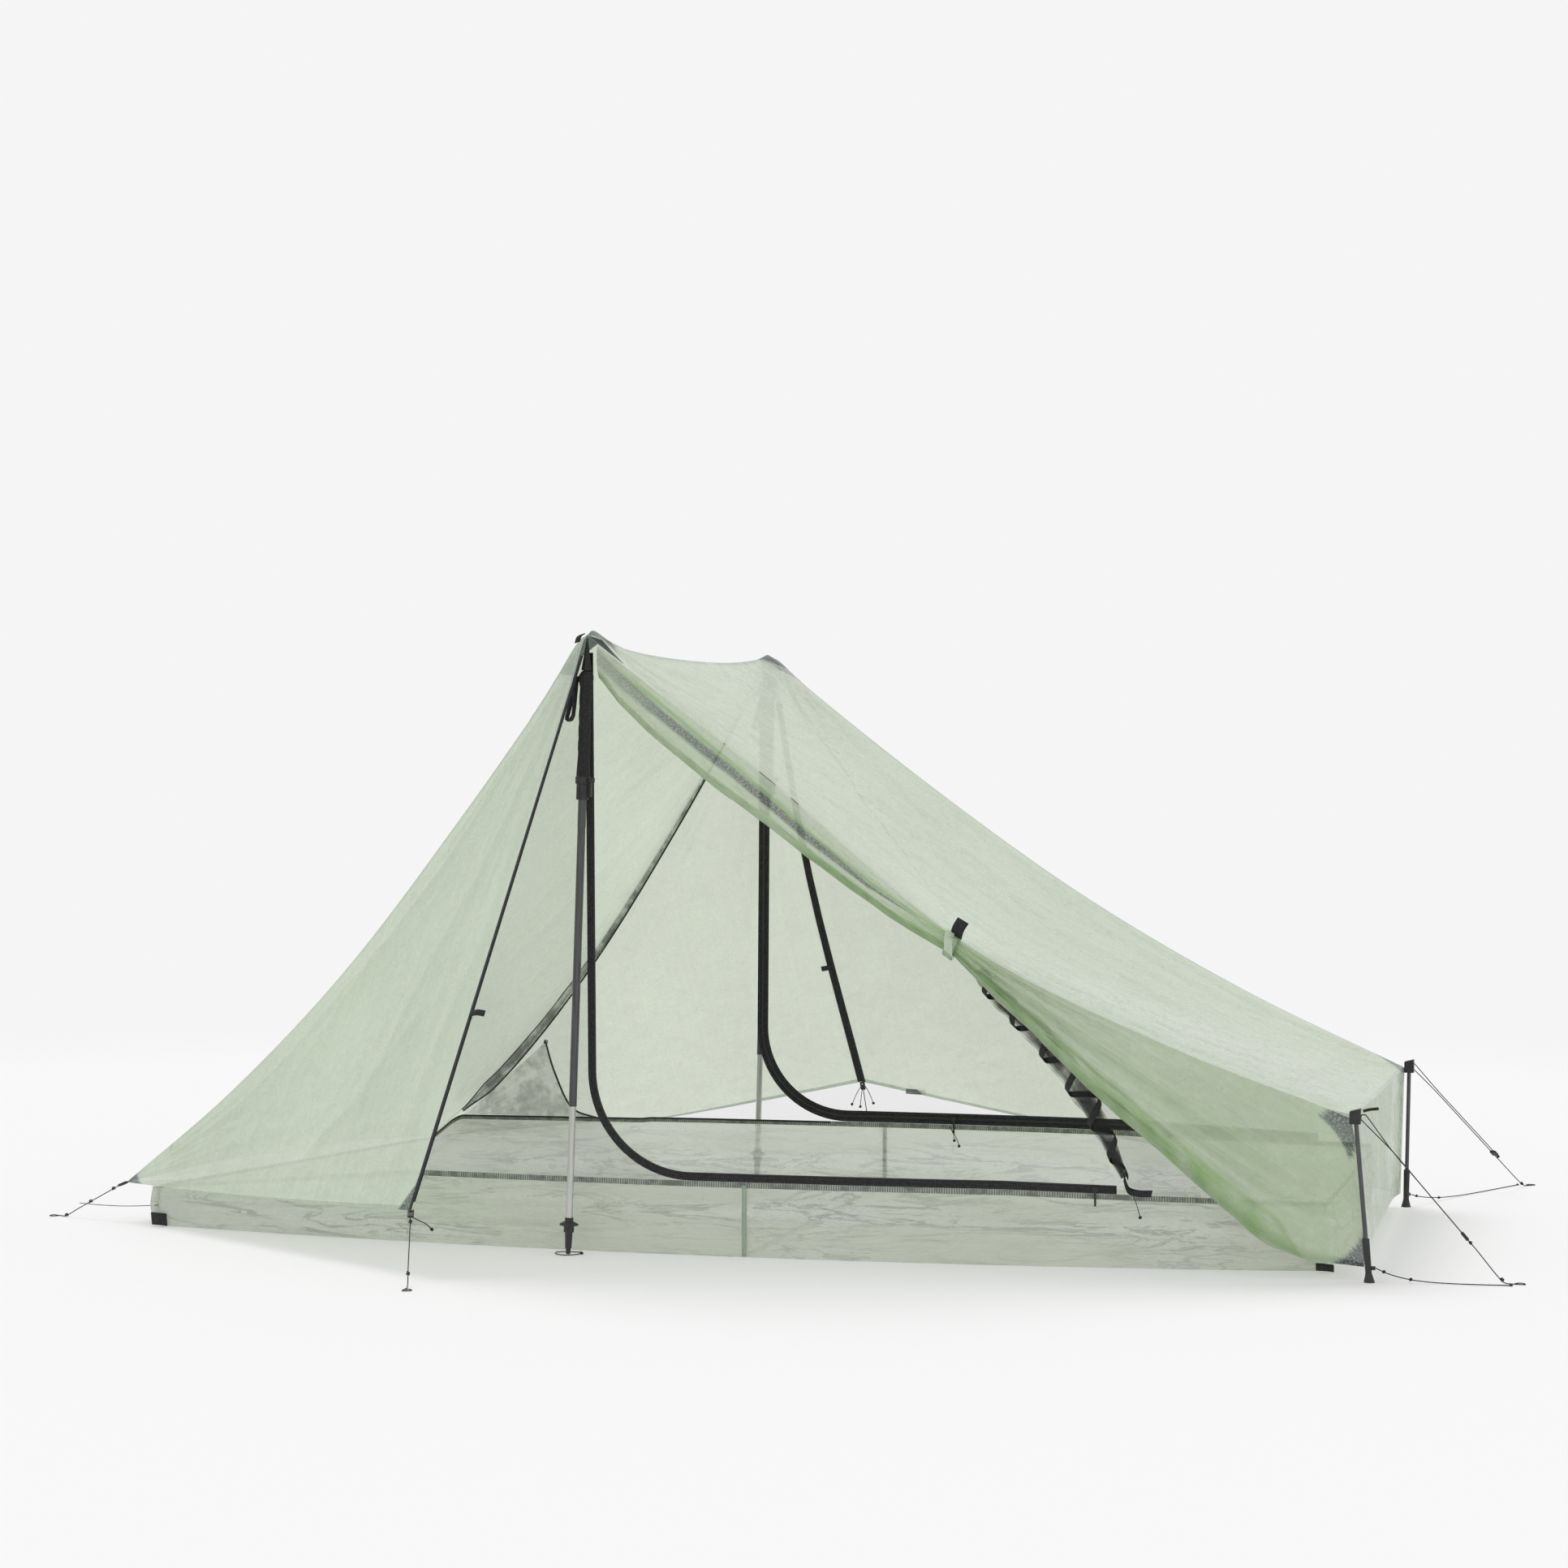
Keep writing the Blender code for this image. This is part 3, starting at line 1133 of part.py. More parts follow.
flysheet()
near_door()
tie_strap()
peak_patch("near_peak_patch", (near_hip, ridge, near_head_hip, near_zip), Vector((-0.18, -0.45, 0.88)))
far_ridge = seam(FAR_APEX, NEAR_APEX, (RIDGE_SAG * 0.8, RIDGE_SAG, RIDGE_SAG * 0.8))
peak_patch("far_peak_patch", (far_hip, far_ridge, far_head_hip, far_zip), Vector((-0.10, 0.45, 0.88)))
bathtub()
zip_tape("near_inner_zip", -1, NEAR_INNER_ZIP_WIDTH, NEAR_INNER_ZIP_END)
zip_tape("far_inner_zip", 1, FAR_INNER_ZIP_WIDTH, FAR_INNER_ZIP_END)
netting_walls()
inner_slider("near_inner_slider", -1, 1.020, NEAR_INNER_ZIP_WIDTH, -1)
inner_slider("far_inner_slider", 1, 0.508, FAR_INNER_ZIP_WIDTH, -1)
zip_way = (far_zip(0.86) - far_zip(0.94)).normalized()
zip_out = Vector((0.1, 0.94, 0.33)).normalized()
slider("far_outer_slider", far_zip(0.92), zip_way, zip_out, -zip_way, 0.0013)

pole(-1, Vector((0.0, NEAR_APEX.y, 0.0)), NEAR_APEX, "near", 0.0024)
pole(1, Vector((0.027, FAR_APEX.y + 0.020, 0.0)), FAR_APEX, "far", 0.0062)
strut(NEAR_STRUT_FOOT, NEAR_STRUT_TOP, "near", NEAR_FOOT_GUY)
strut(FAR_STRUT_FOOT, FAR_STRUT_TOP, "far", FAR_FOOT_GUY)

corner_guy("near_head", NEAR_HEAD, NEAR_HEAD_GUY, 18)
corner_guy("near_vestibule", NEAR_VESTIBULE, NEAR_VESTIBULE_GUY, 18)
hanging_guy("far_vestibule", FAR_VESTIBULE, FAR_VESTIBULE + Vector((0.010, 0.035, -0.120)))
floor_guy()
foot_guy("near_foot", NEAR_STRUT_TOP, NEAR_FOOT_GUY, 0.72)
foot_guy("far_foot", FAR_STRUT_TOP, FAR_FOOT_GUY, 0.72)
ground_cord("near", NEAR_STRUT_FOOT, NEAR_STRUT_TOP, NEAR_FOOT_GUY, -0.022)
ground_cord("far", FAR_STRUT_FOOT, FAR_STRUT_TOP, FAR_FOOT_GUY, 0.022)
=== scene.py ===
"""Tarp tent on two trekking poles: the visible model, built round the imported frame.

Metres, +Z up. X runs from the head end to the foot end, Y from the near side to the far one.
"""

import math

import bmesh
import bpy
from mathutils import Matrix, Vector, noise


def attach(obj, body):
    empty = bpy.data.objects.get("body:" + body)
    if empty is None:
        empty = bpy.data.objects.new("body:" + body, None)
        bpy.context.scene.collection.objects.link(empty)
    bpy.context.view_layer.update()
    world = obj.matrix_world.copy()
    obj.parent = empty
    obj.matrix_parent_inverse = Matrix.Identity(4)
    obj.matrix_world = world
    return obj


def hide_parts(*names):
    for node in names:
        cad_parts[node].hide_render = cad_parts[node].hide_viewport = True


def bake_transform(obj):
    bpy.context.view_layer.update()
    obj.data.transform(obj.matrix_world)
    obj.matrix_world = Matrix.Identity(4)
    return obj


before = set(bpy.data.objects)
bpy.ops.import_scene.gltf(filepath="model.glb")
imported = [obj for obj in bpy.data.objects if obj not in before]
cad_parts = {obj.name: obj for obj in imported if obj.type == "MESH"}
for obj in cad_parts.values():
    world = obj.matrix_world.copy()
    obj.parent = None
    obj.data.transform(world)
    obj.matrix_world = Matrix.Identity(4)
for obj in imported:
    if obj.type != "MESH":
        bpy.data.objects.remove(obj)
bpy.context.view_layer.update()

# The studio: a pale floor that meets the pale backdrop without a line, soft light from all
# round with one broad lamp overhead, and a camera where the photograph was taken from.
UP = Vector((0.0, 0.0, 1.0))
PAPER = (0.914, 0.914, 0.914, 1.0)
PHOTO_WIDTH_PX = 1932
FOCAL_PX = 4053
SENSOR_MM = 36.0
HORIZON_PX = 956
CAMERA_AT = Vector((2.10, -6.67, 0.93))
CAMERA_WAY = Vector((-0.265, 0.964, 0.0))

scene = bpy.context.scene
scene.view_settings.view_transform = "Standard"

lens = bpy.data.cameras.new("camera")
lens.sensor_width = SENSOR_MM
lens.lens = SENSOR_MM * FOCAL_PX / PHOTO_WIDTH_PX
camera = bpy.data.objects.new("camera", lens)
dip = math.atan((PHOTO_WIDTH_PX / 2 - HORIZON_PX) / FOCAL_PX)
camera.location = CAMERA_AT
camera.rotation_euler = (math.pi / 2 - dip, 0.0, math.atan2(-CAMERA_WAY.x, CAMERA_WAY.y))
scene.collection.objects.link(camera)
scene.camera = camera


class Wire:
    """A value in a material's node tree. Arithmetic on it adds the Math nodes."""

    def __init__(self, tree, socket=None):
        self.tree = tree
        self.socket = socket

    def node(self, kind, sockets=None, out=0, **settings):
        """Add a node: its settings first, then the values or links of its sockets."""
        made = self.tree.nodes.new("ShaderNode" + kind)
        for key, value in settings.items():
            setattr(made, key, value)
        for key, value in (sockets or {}).items():
            if isinstance(value, Wire):
                self.tree.links.new(value.socket, made.inputs[key])
            else:
                made.inputs[key].default_value = value
        return Wire(self.tree, made.outputs[out]) if len(made.outputs) else None

    def output(self, k):
        """Another output of this one's node."""
        return Wire(self.tree, self.socket.node.outputs[k])

    def maths(self, operation, a, b=0.0):
        return self.node("Math", {0: a, 1: b}, operation=operation)

    def __add__(self, other):
        return self.maths("ADD", self, other)

    def __sub__(self, other):
        return self.maths("SUBTRACT", self, other)

    def __mul__(self, other):
        return self.maths("MULTIPLY", self, other)

    __radd__ = __add__
    __rmul__ = __mul__

    @property
    def uv(self):
        return self.node("TexCoord", out="UV")

    @property
    def body(self):
        return self.node("TexCoord", out="Object")

    def times(self, factors):
        """A vector multiplied along each axis."""
        return self.node("VectorMath", {0: self, 1: factors}, operation="MULTIPLY")

    def noise(self, where, scale, detail=2.0, **more):
        return self.node("TexNoise", {"Vector": where, "Scale": scale, "Detail": detail, **more})

    def cells(self, where, scale, **more):
        return self.node("TexVoronoi", {"Vector": where, "Scale": scale, **more})

    def mask(self, name):
        """A piece's own attribute."""
        return self.node("Attribute", attribute_name=name, out="Fac")

    def bump(self, height, strength, distance):
        return self.node("Bump", {"Strength": strength, "Distance": distance, "Height": height})

    def mixed(self, factor, a, b):
        """Shader a where the factor is 0 and shader b where it is 1."""
        return self.node("MixShader", {0: factor, 1: a, 2: b})

    def principled(self, colour, rough, normal=None, **more):
        """A solid surface: coat, coat_roughness and metallic are its other sockets."""
        sockets = {"Base Color": colour, "Roughness": rough}
        if normal:
            sockets["Normal"] = normal
        sockets.update({word.replace("_", " ").title(): value for word, value in more.items()})
        return self.node("BsdfPrincipled", sockets)

    def finish(self, shader, cover=None):
        """End the tree in a shader, clear where its cover is less than 1."""
        if cover is not None:
            clear = self.node("BsdfTransparent", {"Color": (1.0, 1.0, 1.0, 1.0)})
            shader = self.mixed(cover, clear, shader)
        self.node("OutputMaterial", {"Surface": shader})

    def within(self, low, high):
        """0 below low, 1 above high and a smooth step between."""
        sockets = {"Value": self, "From Min": low, "From Max": high}
        return self.node("MapRange", sockets, interpolation_type="SMOOTHSTEP")

    def blended(self, a, b):
        """Colour a where this is 0 and colour b where it is 1."""
        return self.node("Mix", {"Factor": self, 6: a, 7: b}, out=2, data_type="RGBA")


def blank(name):
    """A new material and its empty node tree."""
    made = bpy.data.materials.new(name)
    made.use_nodes = True
    made.node_tree.nodes.clear()
    return made, Wire(made.node_tree)


paper, tree = blank("studio_paper")
seen = tree.node("LightPath", out="Is Glossy Ray")
where = tree.node("NewGeometry", out="Position")
away = tree.node("VectorMath", {0: where}, out="Value", operation="LENGTH").within(3.2, 5.5)
shadowed = tree.node("BsdfDiffuse", {"Color": PAPER})
plain = tree.node("Emission", {"Color": PAPER, "Strength": 1.0})
far_or_glossy = tree.maths("MAXIMUM", tree.maths("MAXIMUM", away, 0.30), seen)
tree.node("OutputMaterial", {"Surface": tree.mixed(far_or_glossy, shadowed, plain)})

bm = bmesh.new()
bmesh.ops.create_grid(bm, x_segments=1, y_segments=1, size=60.0)
floor_mesh = bpy.data.meshes.new("studio_floor")
bm.to_mesh(floor_mesh)
bm.free()
floor_mesh.materials.append(paper)
studio_floor = bpy.data.objects.new("studio_floor", floor_mesh)
studio_floor.location = (0.0, 0.0, -0.0004)
scene.collection.objects.link(studio_floor)

world = bpy.data.worlds.new("studio_world")
scene.world = world
world.use_nodes = True
sky = Wire(world.node_tree)
world.node_tree.nodes.clear()
AMBIENT = 0.74
rays = [sky.node("LightPath", out=kind) for kind in ("Is Camera Ray", "Is Glossy Ray", "Is Transmission Ray")]
backdrop = sky.maths("MAXIMUM", rays[0], sky.maths("MAXIMUM", rays[1], rays[2]))
lit = sky.node("Background", {"Color": (1.0, 1.0, 1.0, 1.0), "Strength": AMBIENT})
backed = sky.node("Background", {"Color": PAPER, "Strength": 1.0})
sky.node("OutputWorld", {"Surface": sky.mixed(backdrop, lit, backed)})

OVERHEAD = 1.12
overhead = bpy.data.lights.new("overhead", "SUN")
overhead.energy = OVERHEAD
overhead.angle = math.radians(35)
lamp = bpy.data.objects.new("overhead", overhead)
lamp.rotation_euler = (math.radians(-20), math.radians(-24), 0.0)
scene.collection.objects.link(lamp)

# The guylines: thin braided cord, black with a pale tracer. The canopy's corners run to loops
# that lie on the ground, each foot corner on a doubled line through an adjuster.
CORD = 0.0020
GAP = 0.0003
HEM_HEIGHT = 0.080
STRUT_HEIGHT = 0.310
CAP_HALF = 0.010
NEAR_APEX = Vector((0.040, -0.615, 1.20))
FAR_APEX = Vector((0.066, 0.615, 1.20))
NEAR_HEAD = Vector((-1.050, -0.400, HEM_HEIGHT))
FAR_HEAD = Vector((-0.760, 0.600, HEM_HEIGHT))
NEAR_VESTIBULE = Vector((-0.195, -0.945, 0.120))
FAR_VESTIBULE = Vector((0.200, 0.945, 0.200))
NEAR_STRUT_TOP = Vector((1.510, -0.560, STRUT_HEIGHT))
FAR_STRUT_TOP = Vector((1.520, 0.530, STRUT_HEIGHT))
NEAR_STRUT_FOOT = Vector((1.536, -0.563, 0.0))
FAR_STRUT_FOOT = Vector((1.513, 0.530, 0.0))
NEAR_HEAD_GUY = Vector((-1.240, -0.376, 0.0))
NEAR_VESTIBULE_GUY = Vector((-0.128, -1.134, 0.0))
NEAR_FOOT_GUY = Vector((1.815, -0.515, 0.0))
FAR_FOOT_GUY = Vector((1.760, 0.990, 0.0))
BUCKLE_LENGTH = 0.020
ADJUSTER_LENGTH = 0.018
STRANDS = 0.0070
LOOP_RADIUS = 0.009
SLEEVE_RADIUS = 0.0066
GROUND_TIE = 0.026
LUG_REACH = 0.0065


def mix(a, b, t):
    return a + (b - a) * t


def even(count):
    """Even steps from 0 to 1."""
    return [k / count for k in range(count + 1)]


def smooth_through(values, t):
    """A smooth curve through evenly spaced values, read at t from 0 to 1."""
    spans = len(values) - 1
    i = min(int(t * spans), spans - 1)
    f = t * spans - i
    before = values[i - 1] if i else values[0] * 2 - values[1]
    after = values[i + 2] if i + 2 <= spans else values[spans] * 2 - values[spans - 1]
    a, b = values[i], values[i + 1]
    bend = (before * 2 - a * 5 + b * 4 - after) * f * f + (a * 3 - before - b * 3 + after) * f**3
    return a + ((b - before) * f + bend) * 0.5


def lengthwise(points):
    return sum((b - a).length for a, b in zip(points, points[1:]))


def smooth_step(t):
    t = min(max(t, 0.0), 1.0)
    return t * t * (3 - 2 * t)


def facing(origin, direction, front=-Vector((0.0, 1.0, 0.0))):
    """A frame at origin whose Z points along direction and whose -Y leans to front."""
    z = direction.normalized()
    y = (-front - z * z.dot(-front)).normalized()
    turn = Matrix((y.cross(z), y, z)).transposed().to_4x4()
    return Matrix.Translation(origin) @ turn


braid, tree = blank("braided_cord")
tracer = tree.noise(tree.body, 420.0, 1.0).within(0.62, 0.70)
weave = tree.bump(tree.cells(tree.body, 1500.0), 0.5, 0.0003)
shade = tracer.blended((0.020, 0.020, 0.021, 1.0), (0.22, 0.23, 0.22, 1.0))
tree.finish(tree.principled(shade, 0.75, weave))


def end_loop(end, heading):
    """Points round the loop that lies on the ground at a guyline's end."""
    heading = Vector((heading.x, heading.y, 0.0)).normalized()
    aside = Vector((-heading.y, heading.x, 0.0))
    ground = Vector((end.x, end.y, CORD * 0.6))
    centre = ground - heading * LOOP_RADIUS * 1.2
    points = [ground - heading * LOOP_RADIUS * 4.2]
    for degrees in (-60, -15, 35, 85, 135, 185, 225):
        a = math.radians(degrees)
        points.append(centre + (heading * math.cos(a) + aside * math.sin(a)) * LOOP_RADIUS)
    return points


def braided(name, points, diameter, body, closed, detail):
    """A braided cord through points, no lower than the ground, that rides on a body."""
    curve = bpy.data.curves.new(name, "CURVE")
    curve.dimensions = "3D"
    curve.bevel_depth = diameter / 2
    curve.bevel_resolution = detail
    curve.use_fill_caps = not closed
    spline = curve.splines.new("POLY")
    spline.use_cyclic_u = closed
    spline.points.add(len(points) - 1)
    for point, p in zip(spline.points, points):
        p.z = max(p.z, diameter * 0.6)
        point.co = (*p, 1.0)
    curve.materials.append(braid)
    made = bpy.data.objects.new(name, curve)
    scene.collection.objects.link(made)
    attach(made, body)
    return made


def knot(name, at, way, size=0.0062, body="shelter"):
    """A tight overhand knot in a cord."""
    frame_at = facing(at, way, UP if abs(way.normalized().z) < 0.9 else Vector((0.0, -1.0, 0.0)))
    points = []
    for k in range(36):
        a = math.tau * k / 36
        x, y = math.sin(a) + 2 * math.sin(2 * a), math.cos(a) - 2 * math.cos(2 * a)
        points.append(frame_at @ (Vector((x * 0.5, y * 0.5, math.sin(3 * a) * 1.4)) * size / 3))
    return braided(name, points, CORD, body, True, 2)


def guyline(
    name, route, node="near_head_cord", samples=90, diameter=CORD, replaces=True,
    body="shelter",
):
    """A cord along its route, which replaces the node that stands for it."""
    points = [smooth_through(route, t) for t in even(samples)]
    line = braided(name, points, diameter, body, False, 3)
    if replaces:
        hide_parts(node)
    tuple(points[0])
    lengthwise(points)


def buckle_end(corner, toward):
    """Where the line leaves a corner's buckle, and its direction there."""
    way = (toward - corner).normalized()
    return corner + way * (BUCKLE_LENGTH + GAP), way


for corner_name, corner, peg in (
    ("near_head", NEAR_HEAD, NEAR_HEAD_GUY),
    ("near_vestibule", NEAR_VESTIBULE, NEAR_VESTIBULE_GUY),
):
    start, way = buckle_end(corner, peg)
    loop = end_loop(peg, peg - start)
    route = [start, *(mix(start, loop[0], k / 4) for k in range(1, 4)), *loop]
    bits = [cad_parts[f"{corner_name}_buckle"]]
    for k, t in enumerate((0.10, 0.52, 0.97) if corner_name == "near_head" else (0.06, 0.80)):
        bits.append(knot(f"{corner_name}_knot_{k}", mix(start, loop[0], t), way))
    guyline(f"{corner_name}_guyline", route, f"{corner_name}_cord")
    if corner_name == "near_vestibule":
        tail = [start + Vector((0.004, 0.0, 0.0)), start + Vector((0.016, 0.004, -0.006))]
        tail += [start + Vector((0.030, 0.006, -0.013)), start + Vector((0.040, 0.006, -0.022))]
        bits = [knot("near_vestibule_tail_knot", tail[-1], tail[-1] - tail[-2], 0.005)]
        guyline("near_vestibule_tail", tail, samples=16, replaces=False)

start, way = buckle_end(FAR_VESTIBULE, FAR_VESTIBULE + Vector((0.010, 0.035, -0.120)))
HANG_DROP = 0.085
route = [mix(start, start + way * HANG_DROP, f) for f in (0.0, 0.25, 0.5, 0.75)]
route.append(start + way * HANG_DROP + Vector((0.006, -0.004, 0.0)))
guyline("far_vestibule_guyline", route, "far_vestibule_cord", 30)
tails_from = FAR_VESTIBULE + Vector((0.004, -0.006, -0.004))
for k, (x, z) in enumerate(((-0.026, -0.050), (-0.006, -0.055), (0.026, -0.046))):
    hang = Vector((x, -0.004, z))
    route = [tails_from + hang * f + UP * 0.006 * math.sin(3 * f) for f in even(4)]
    bits = [knot(f"far_vestibule_tail_knot_{k}", route[-1], hang, 0.005)]
    tail = f"far_vestibule_tail_{k}"
    guyline(tail, route, samples=16, diameter=0.0016, replaces=False)

FLOOR_CORNER = Vector((-0.947, -0.455, 0.0425))
meet = mix(NEAR_HEAD, NEAR_HEAD_GUY, 0.62)
way = (meet - FLOOR_CORNER).normalized()
start = FLOOR_CORNER + way * (CORD / 4)
goal = meet - way * (CORD + GAP)
route = [mix(start, goal, f) - UP * 0.004 * math.sin(math.pi * f) for f in even(4)]
guyline("floor_guyline", route, "head_floor_cord", 40, CORD * 0.75)

ADJUSTER_SHARE = 0.72
STRANDS_PART = 0.28
for word, strut_top, strut_foot, peg, sideways in (
    ("near", NEAR_STRUT_TOP, NEAR_STRUT_FOOT, NEAR_FOOT_GUY, -0.022),
    ("far", FAR_STRUT_TOP, FAR_STRUT_FOOT, FAR_FOOT_GUY, 0.022),
):
    loop = end_loop(peg, peg - strut_top)
    flat = Vector((peg.x - strut_top.x, peg.y - strut_top.y, 0.0)).normalized()
    face = CAP_HALF / max(abs(flat.x), abs(flat.y))
    start = strut_top + flat * (face + CORD / 2 + 2 * GAP) + Vector((0, 0, -0.004))
    way = (loop[0] - start).normalized()
    aside = way.cross(UP).normalized() * (STRANDS / 2)
    adjuster_at = start + way * (loop[0] - start).length * ADJUSTER_SHARE
    tail = adjuster_at + way * (ADJUSTER_LENGTH / 2 + 0.010)
    bight = start + way * 0.012
    upward = aside.cross(way) * 1.6
    first = [mix(tail, bight, f) + mix(aside, upward, smooth_step(1 - (1 - f) / STRANDS_PART)) for f in even(4)]
    turn = [start + way * 0.003 + upward * 0.75, start, start + way * 0.003 - upward * 0.75]
    second = [mix(bight, adjuster_at + way * 0.030, f) - mix(upward, aside, smooth_step(f / 0.26)) for f in even(4)]
    bits = [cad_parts[f"{word}_foot_adjuster"]]
    bits.append(knot(f"{word}_foot_knot", tail - way * 0.004 + aside, way, 0.005))
    bits.append(knot(f"{word}_foot_loop_knot", mix(adjuster_at, loop[0], 0.92), way))
    route = [*first, *turn, *second, *loop]
    guyline(f"{word}_foot_guyline", route, f"{word}_foot_cord", 150)

    way = Vector((peg.x - strut_foot.x, peg.y - strut_foot.y, 0.0)).normalized()
    aside = Vector((-way.y, way.x, 0.0)) * sideways
    lean = (strut_top - strut_foot) / (strut_top - strut_foot).z
    start = strut_foot + lean * GROUND_TIE + way * (SLEEVE_RADIUS + LUG_REACH + CORD / 4 + GAP)
    goal = Vector((peg.x, peg.y, CORD * 0.6)) - way * 0.030 + aside
    route = []
    for f in (0.0, 0.06, 0.14, 0.26, 0.42, 0.60, 0.80, 1.0):
        point = mix(start, goal, f)
        point.z = mix(goal.z, start.z, (1 - f) ** 5)
        route.append(point)
    bits = [knot(f"{word}_ground_knot_{k}", route[k], way, 0.005) for k in (1, 3, 7)]
    guyline(f"{word}_ground_line", route, f"{word}_ground_cord", 60)

# The elastic loops: thin cord laid round each pole's tip, to peg it down, with a knot beside the
# tip. Each moves with its pole's lower tube.
for word, tip in (("near", Vector((0.0, -0.615, 0.0))), ("far", Vector((0.027, 0.635, 0.0)))):
    route = []
    for degrees in range(8, 360, 16):
        a = math.radians(degrees)
        wobble = 1 + 0.06 * math.sin(3 * a)
        route.append(tip + Vector((0.026 * wobble * math.cos(a), 0.023 * wobble * math.sin(a), 0.0016)))
    low = f"{word}_pole_low_section"
    bits = [knot(f"{word}_tip_knot", tip + Vector((0.027, 0.0, 0.003)), Vector((0.0, 1.0, 0.2)), 0.006, body=low)]
    guyline(f"{word}_tip_elastic", route, samples=70, replaces=False, body=low)


# The laminated cloth: clear film with pale green threads pressed into it, thin enough to glow
# when the light is behind it. It is stiff as paper, so it takes fine creases and long folds.
CLOTH_TINT = (0.725, 0.808, 0.678, 1.0)
GLOW_TINT = (0.800, 0.890, 0.720, 1.0)
# The doubled tints darken the near door where its cloth lies double, and also paint shade into its hip fold, by its
# tie and in its fold hollows.
DOUBLED_TINT = (0.355, 0.510, 0.245, 1.0)
DOUBLED_GLOW = (0.460, 0.700, 0.285, 1.0)


def laminate(name, tint, glow, cover, through, gloss=0.20, crease=0.8, door=False, woven=0.0, drawn=(1.0, 1.0, 1.0)):
    """A laminate of the given colours: how much it covers, and how much light it lets through."""
    made, tree = blank(name)
    uv = tree.uv
    body = tree.body

    def threads(across, down, detail):
        return tree.noise(uv.times((across, down, 1.0)), 1.0, detail, Roughness=0.6)

    def shades(colour, low, high):
        dark, pale = (tuple(min(1.0, c * k) for c in colour[:3]) + (1.0,) for k in (low, high))
        return pattern.within(0.34, 0.68).blended(dark, pale)

    bundles = threads(42.0, 0.45, 3.0)
    strays = threads(330.0, 1.6, 2.0)
    clouds = tree.noise(body, 2.6, 5.0)
    lay = body.times(drawn)
    crumple = tree.noise(lay, 26.0, 7.0, Roughness=0.66)
    facets = tree.cells(body, 34.0, Detail=2.0)
    bent = tree.noise(lay, 9.0, 6.0, Roughness=0.62, Distortion=0.9)
    creases = tree.maths("ABSOLUTE", bent - 0.5).within(0.0, 0.020)
    single = threads(230.0, 0.55, 1.0)
    pattern = bundles * 0.26 + strays * 0.12 + clouds * 0.62
    colour = shades(tint, 0.95, 1.04)
    inner = shades(glow, 0.95, 1.04)
    colour = (single.within(0.64, 0.72) * 0.45).blended(colour, (0.88, 0.92, 0.85, 1.0))
    # Where a piece's sheen mask is high, the film and its glow are painted whitish: painted highlights that stand in
    # for its glints and gloss.
    worn, band = tree.mask("worn"), tree.mask("band")
    painted_glints = worn * (strays * 0.45 + crumple * 0.55).within(0.36, 0.54)
    colour = painted_glints.blended(colour, (0.960, 0.970, 0.955, 1.0))
    inner = painted_glints.blended(inner, (0.960, 0.975, 0.950, 1.0))
    # On the door, its layers mask darkens the cloth towards the doubled tints: doubled cloth, and painted shade in
    # its folds.
    if door:
        layers = tree.mask("layers")
        colour = layers.blended(colour, DOUBLED_TINT)
        inner = layers.blended(inner, DOUBLED_GLOW)
    fibres = threads(420.0, 190.0, 5.0).within(0.42, 0.70)
    grey = fibres.blended((0.055, 0.072, 0.070, 1.0), (0.38, 0.45, 0.41, 1.0))
    colour = band.blended(colour, grey)
    inner = band.blended(inner, grey)
    relief = crumple * 0.75 + facets * 0.22 + bundles * 0.15 + creases * (worn * 0.32 + 0.07) + worn * facets * 0.5
    if woven:
        lines = [
            tree.node("TexWave", {"Vector": uv, "Scale": 10.0, "Distortion": 0.3, "Detail": 1.0}, bands_direction=way)
            for way in ("X", "Y")
        ]
        checks = lines[0].within(0.0, 0.03) * lines[1].within(0.0, 0.03)
        colour = (checks * woven + (1 - woven)).blended((0.38, 0.42, 0.35, 1.0), colour)
    bump = tree.bump(relief, crease, 0.009)
    rough = crumple.within(0.30, 0.72) * 0.25 + gloss
    face = tree.principled(colour, rough, bump, coat_weight=0.7, coat_roughness=0.18)
    lit_through = tree.node("BsdfTranslucent", {"Color": inner, "Normal": bump})
    tree.finish(tree.mixed(through, face, lit_through), bundles.within(0.30, 0.75) * 0.06 + cover)
    return made


canopy_cloth = laminate("canopy_cloth", CLOTH_TINT, GLOW_TINT, 0.84, 0.42, crease=0.62)
HEAD_SHADE = 0.84
head_tint, head_glow = ([c * HEAD_SHADE for c in tint[:3]] for tint in (CLOTH_TINT, GLOW_TINT))
head_shade = laminate("head_cloth", head_tint, head_glow, 0.86, 0.42, crease=0.62)
grey_fibre, tree = blank("grey_reinforcement")
fibres = tree.noise(tree.uv.times((520.0, 40.0, 1.0)), 1.0, 4.0, Roughness=0.7)
crumple = tree.noise(tree.body, 60.0, 5.0, Roughness=0.65)
shade = (fibres * 0.7 + crumple * 0.3).within(0.36, 0.66).blended((0.115, 0.140, 0.138, 1.0), (0.50, 0.55, 0.52, 1.0))
relief = tree.bump(fibres + crumple, 0.6, 0.0015)
behind = tree.node("BsdfTranslucent", {"Color": shade})
tree.finish(tree.mixed(0.30, tree.principled(shade, 0.42, relief), behind), 0.93)


def seam(a, b, sags, push=-UP):
    """A seam from a to b that hangs by the given amounts at even steps between its ends."""
    profile = [0.0, *sags, 0.0]
    return lambda t: mix(a, b, t) + push * smooth_through(profile, t)


def ends_at(point):
    """A side that has shrunk to one point, for three-cornered cloth."""
    return lambda t: point.copy()


def surface(top, bottom, left, right):
    """The cloth stretched between four seams. u runs along top and bottom, v down the sides."""

    def at(u, v):
        across = mix(left(v), right(v), u)
        down = mix(top(u), bottom(u), v)
        corners = mix(mix(top(0), top(1), u), mix(bottom(0), bottom(1), u), v)
        return across + down - corners

    return at


def rows_of(at, across, down):
    return [[at(u, v) for u in across] for v in down]


SEAM_BAND = 0.009


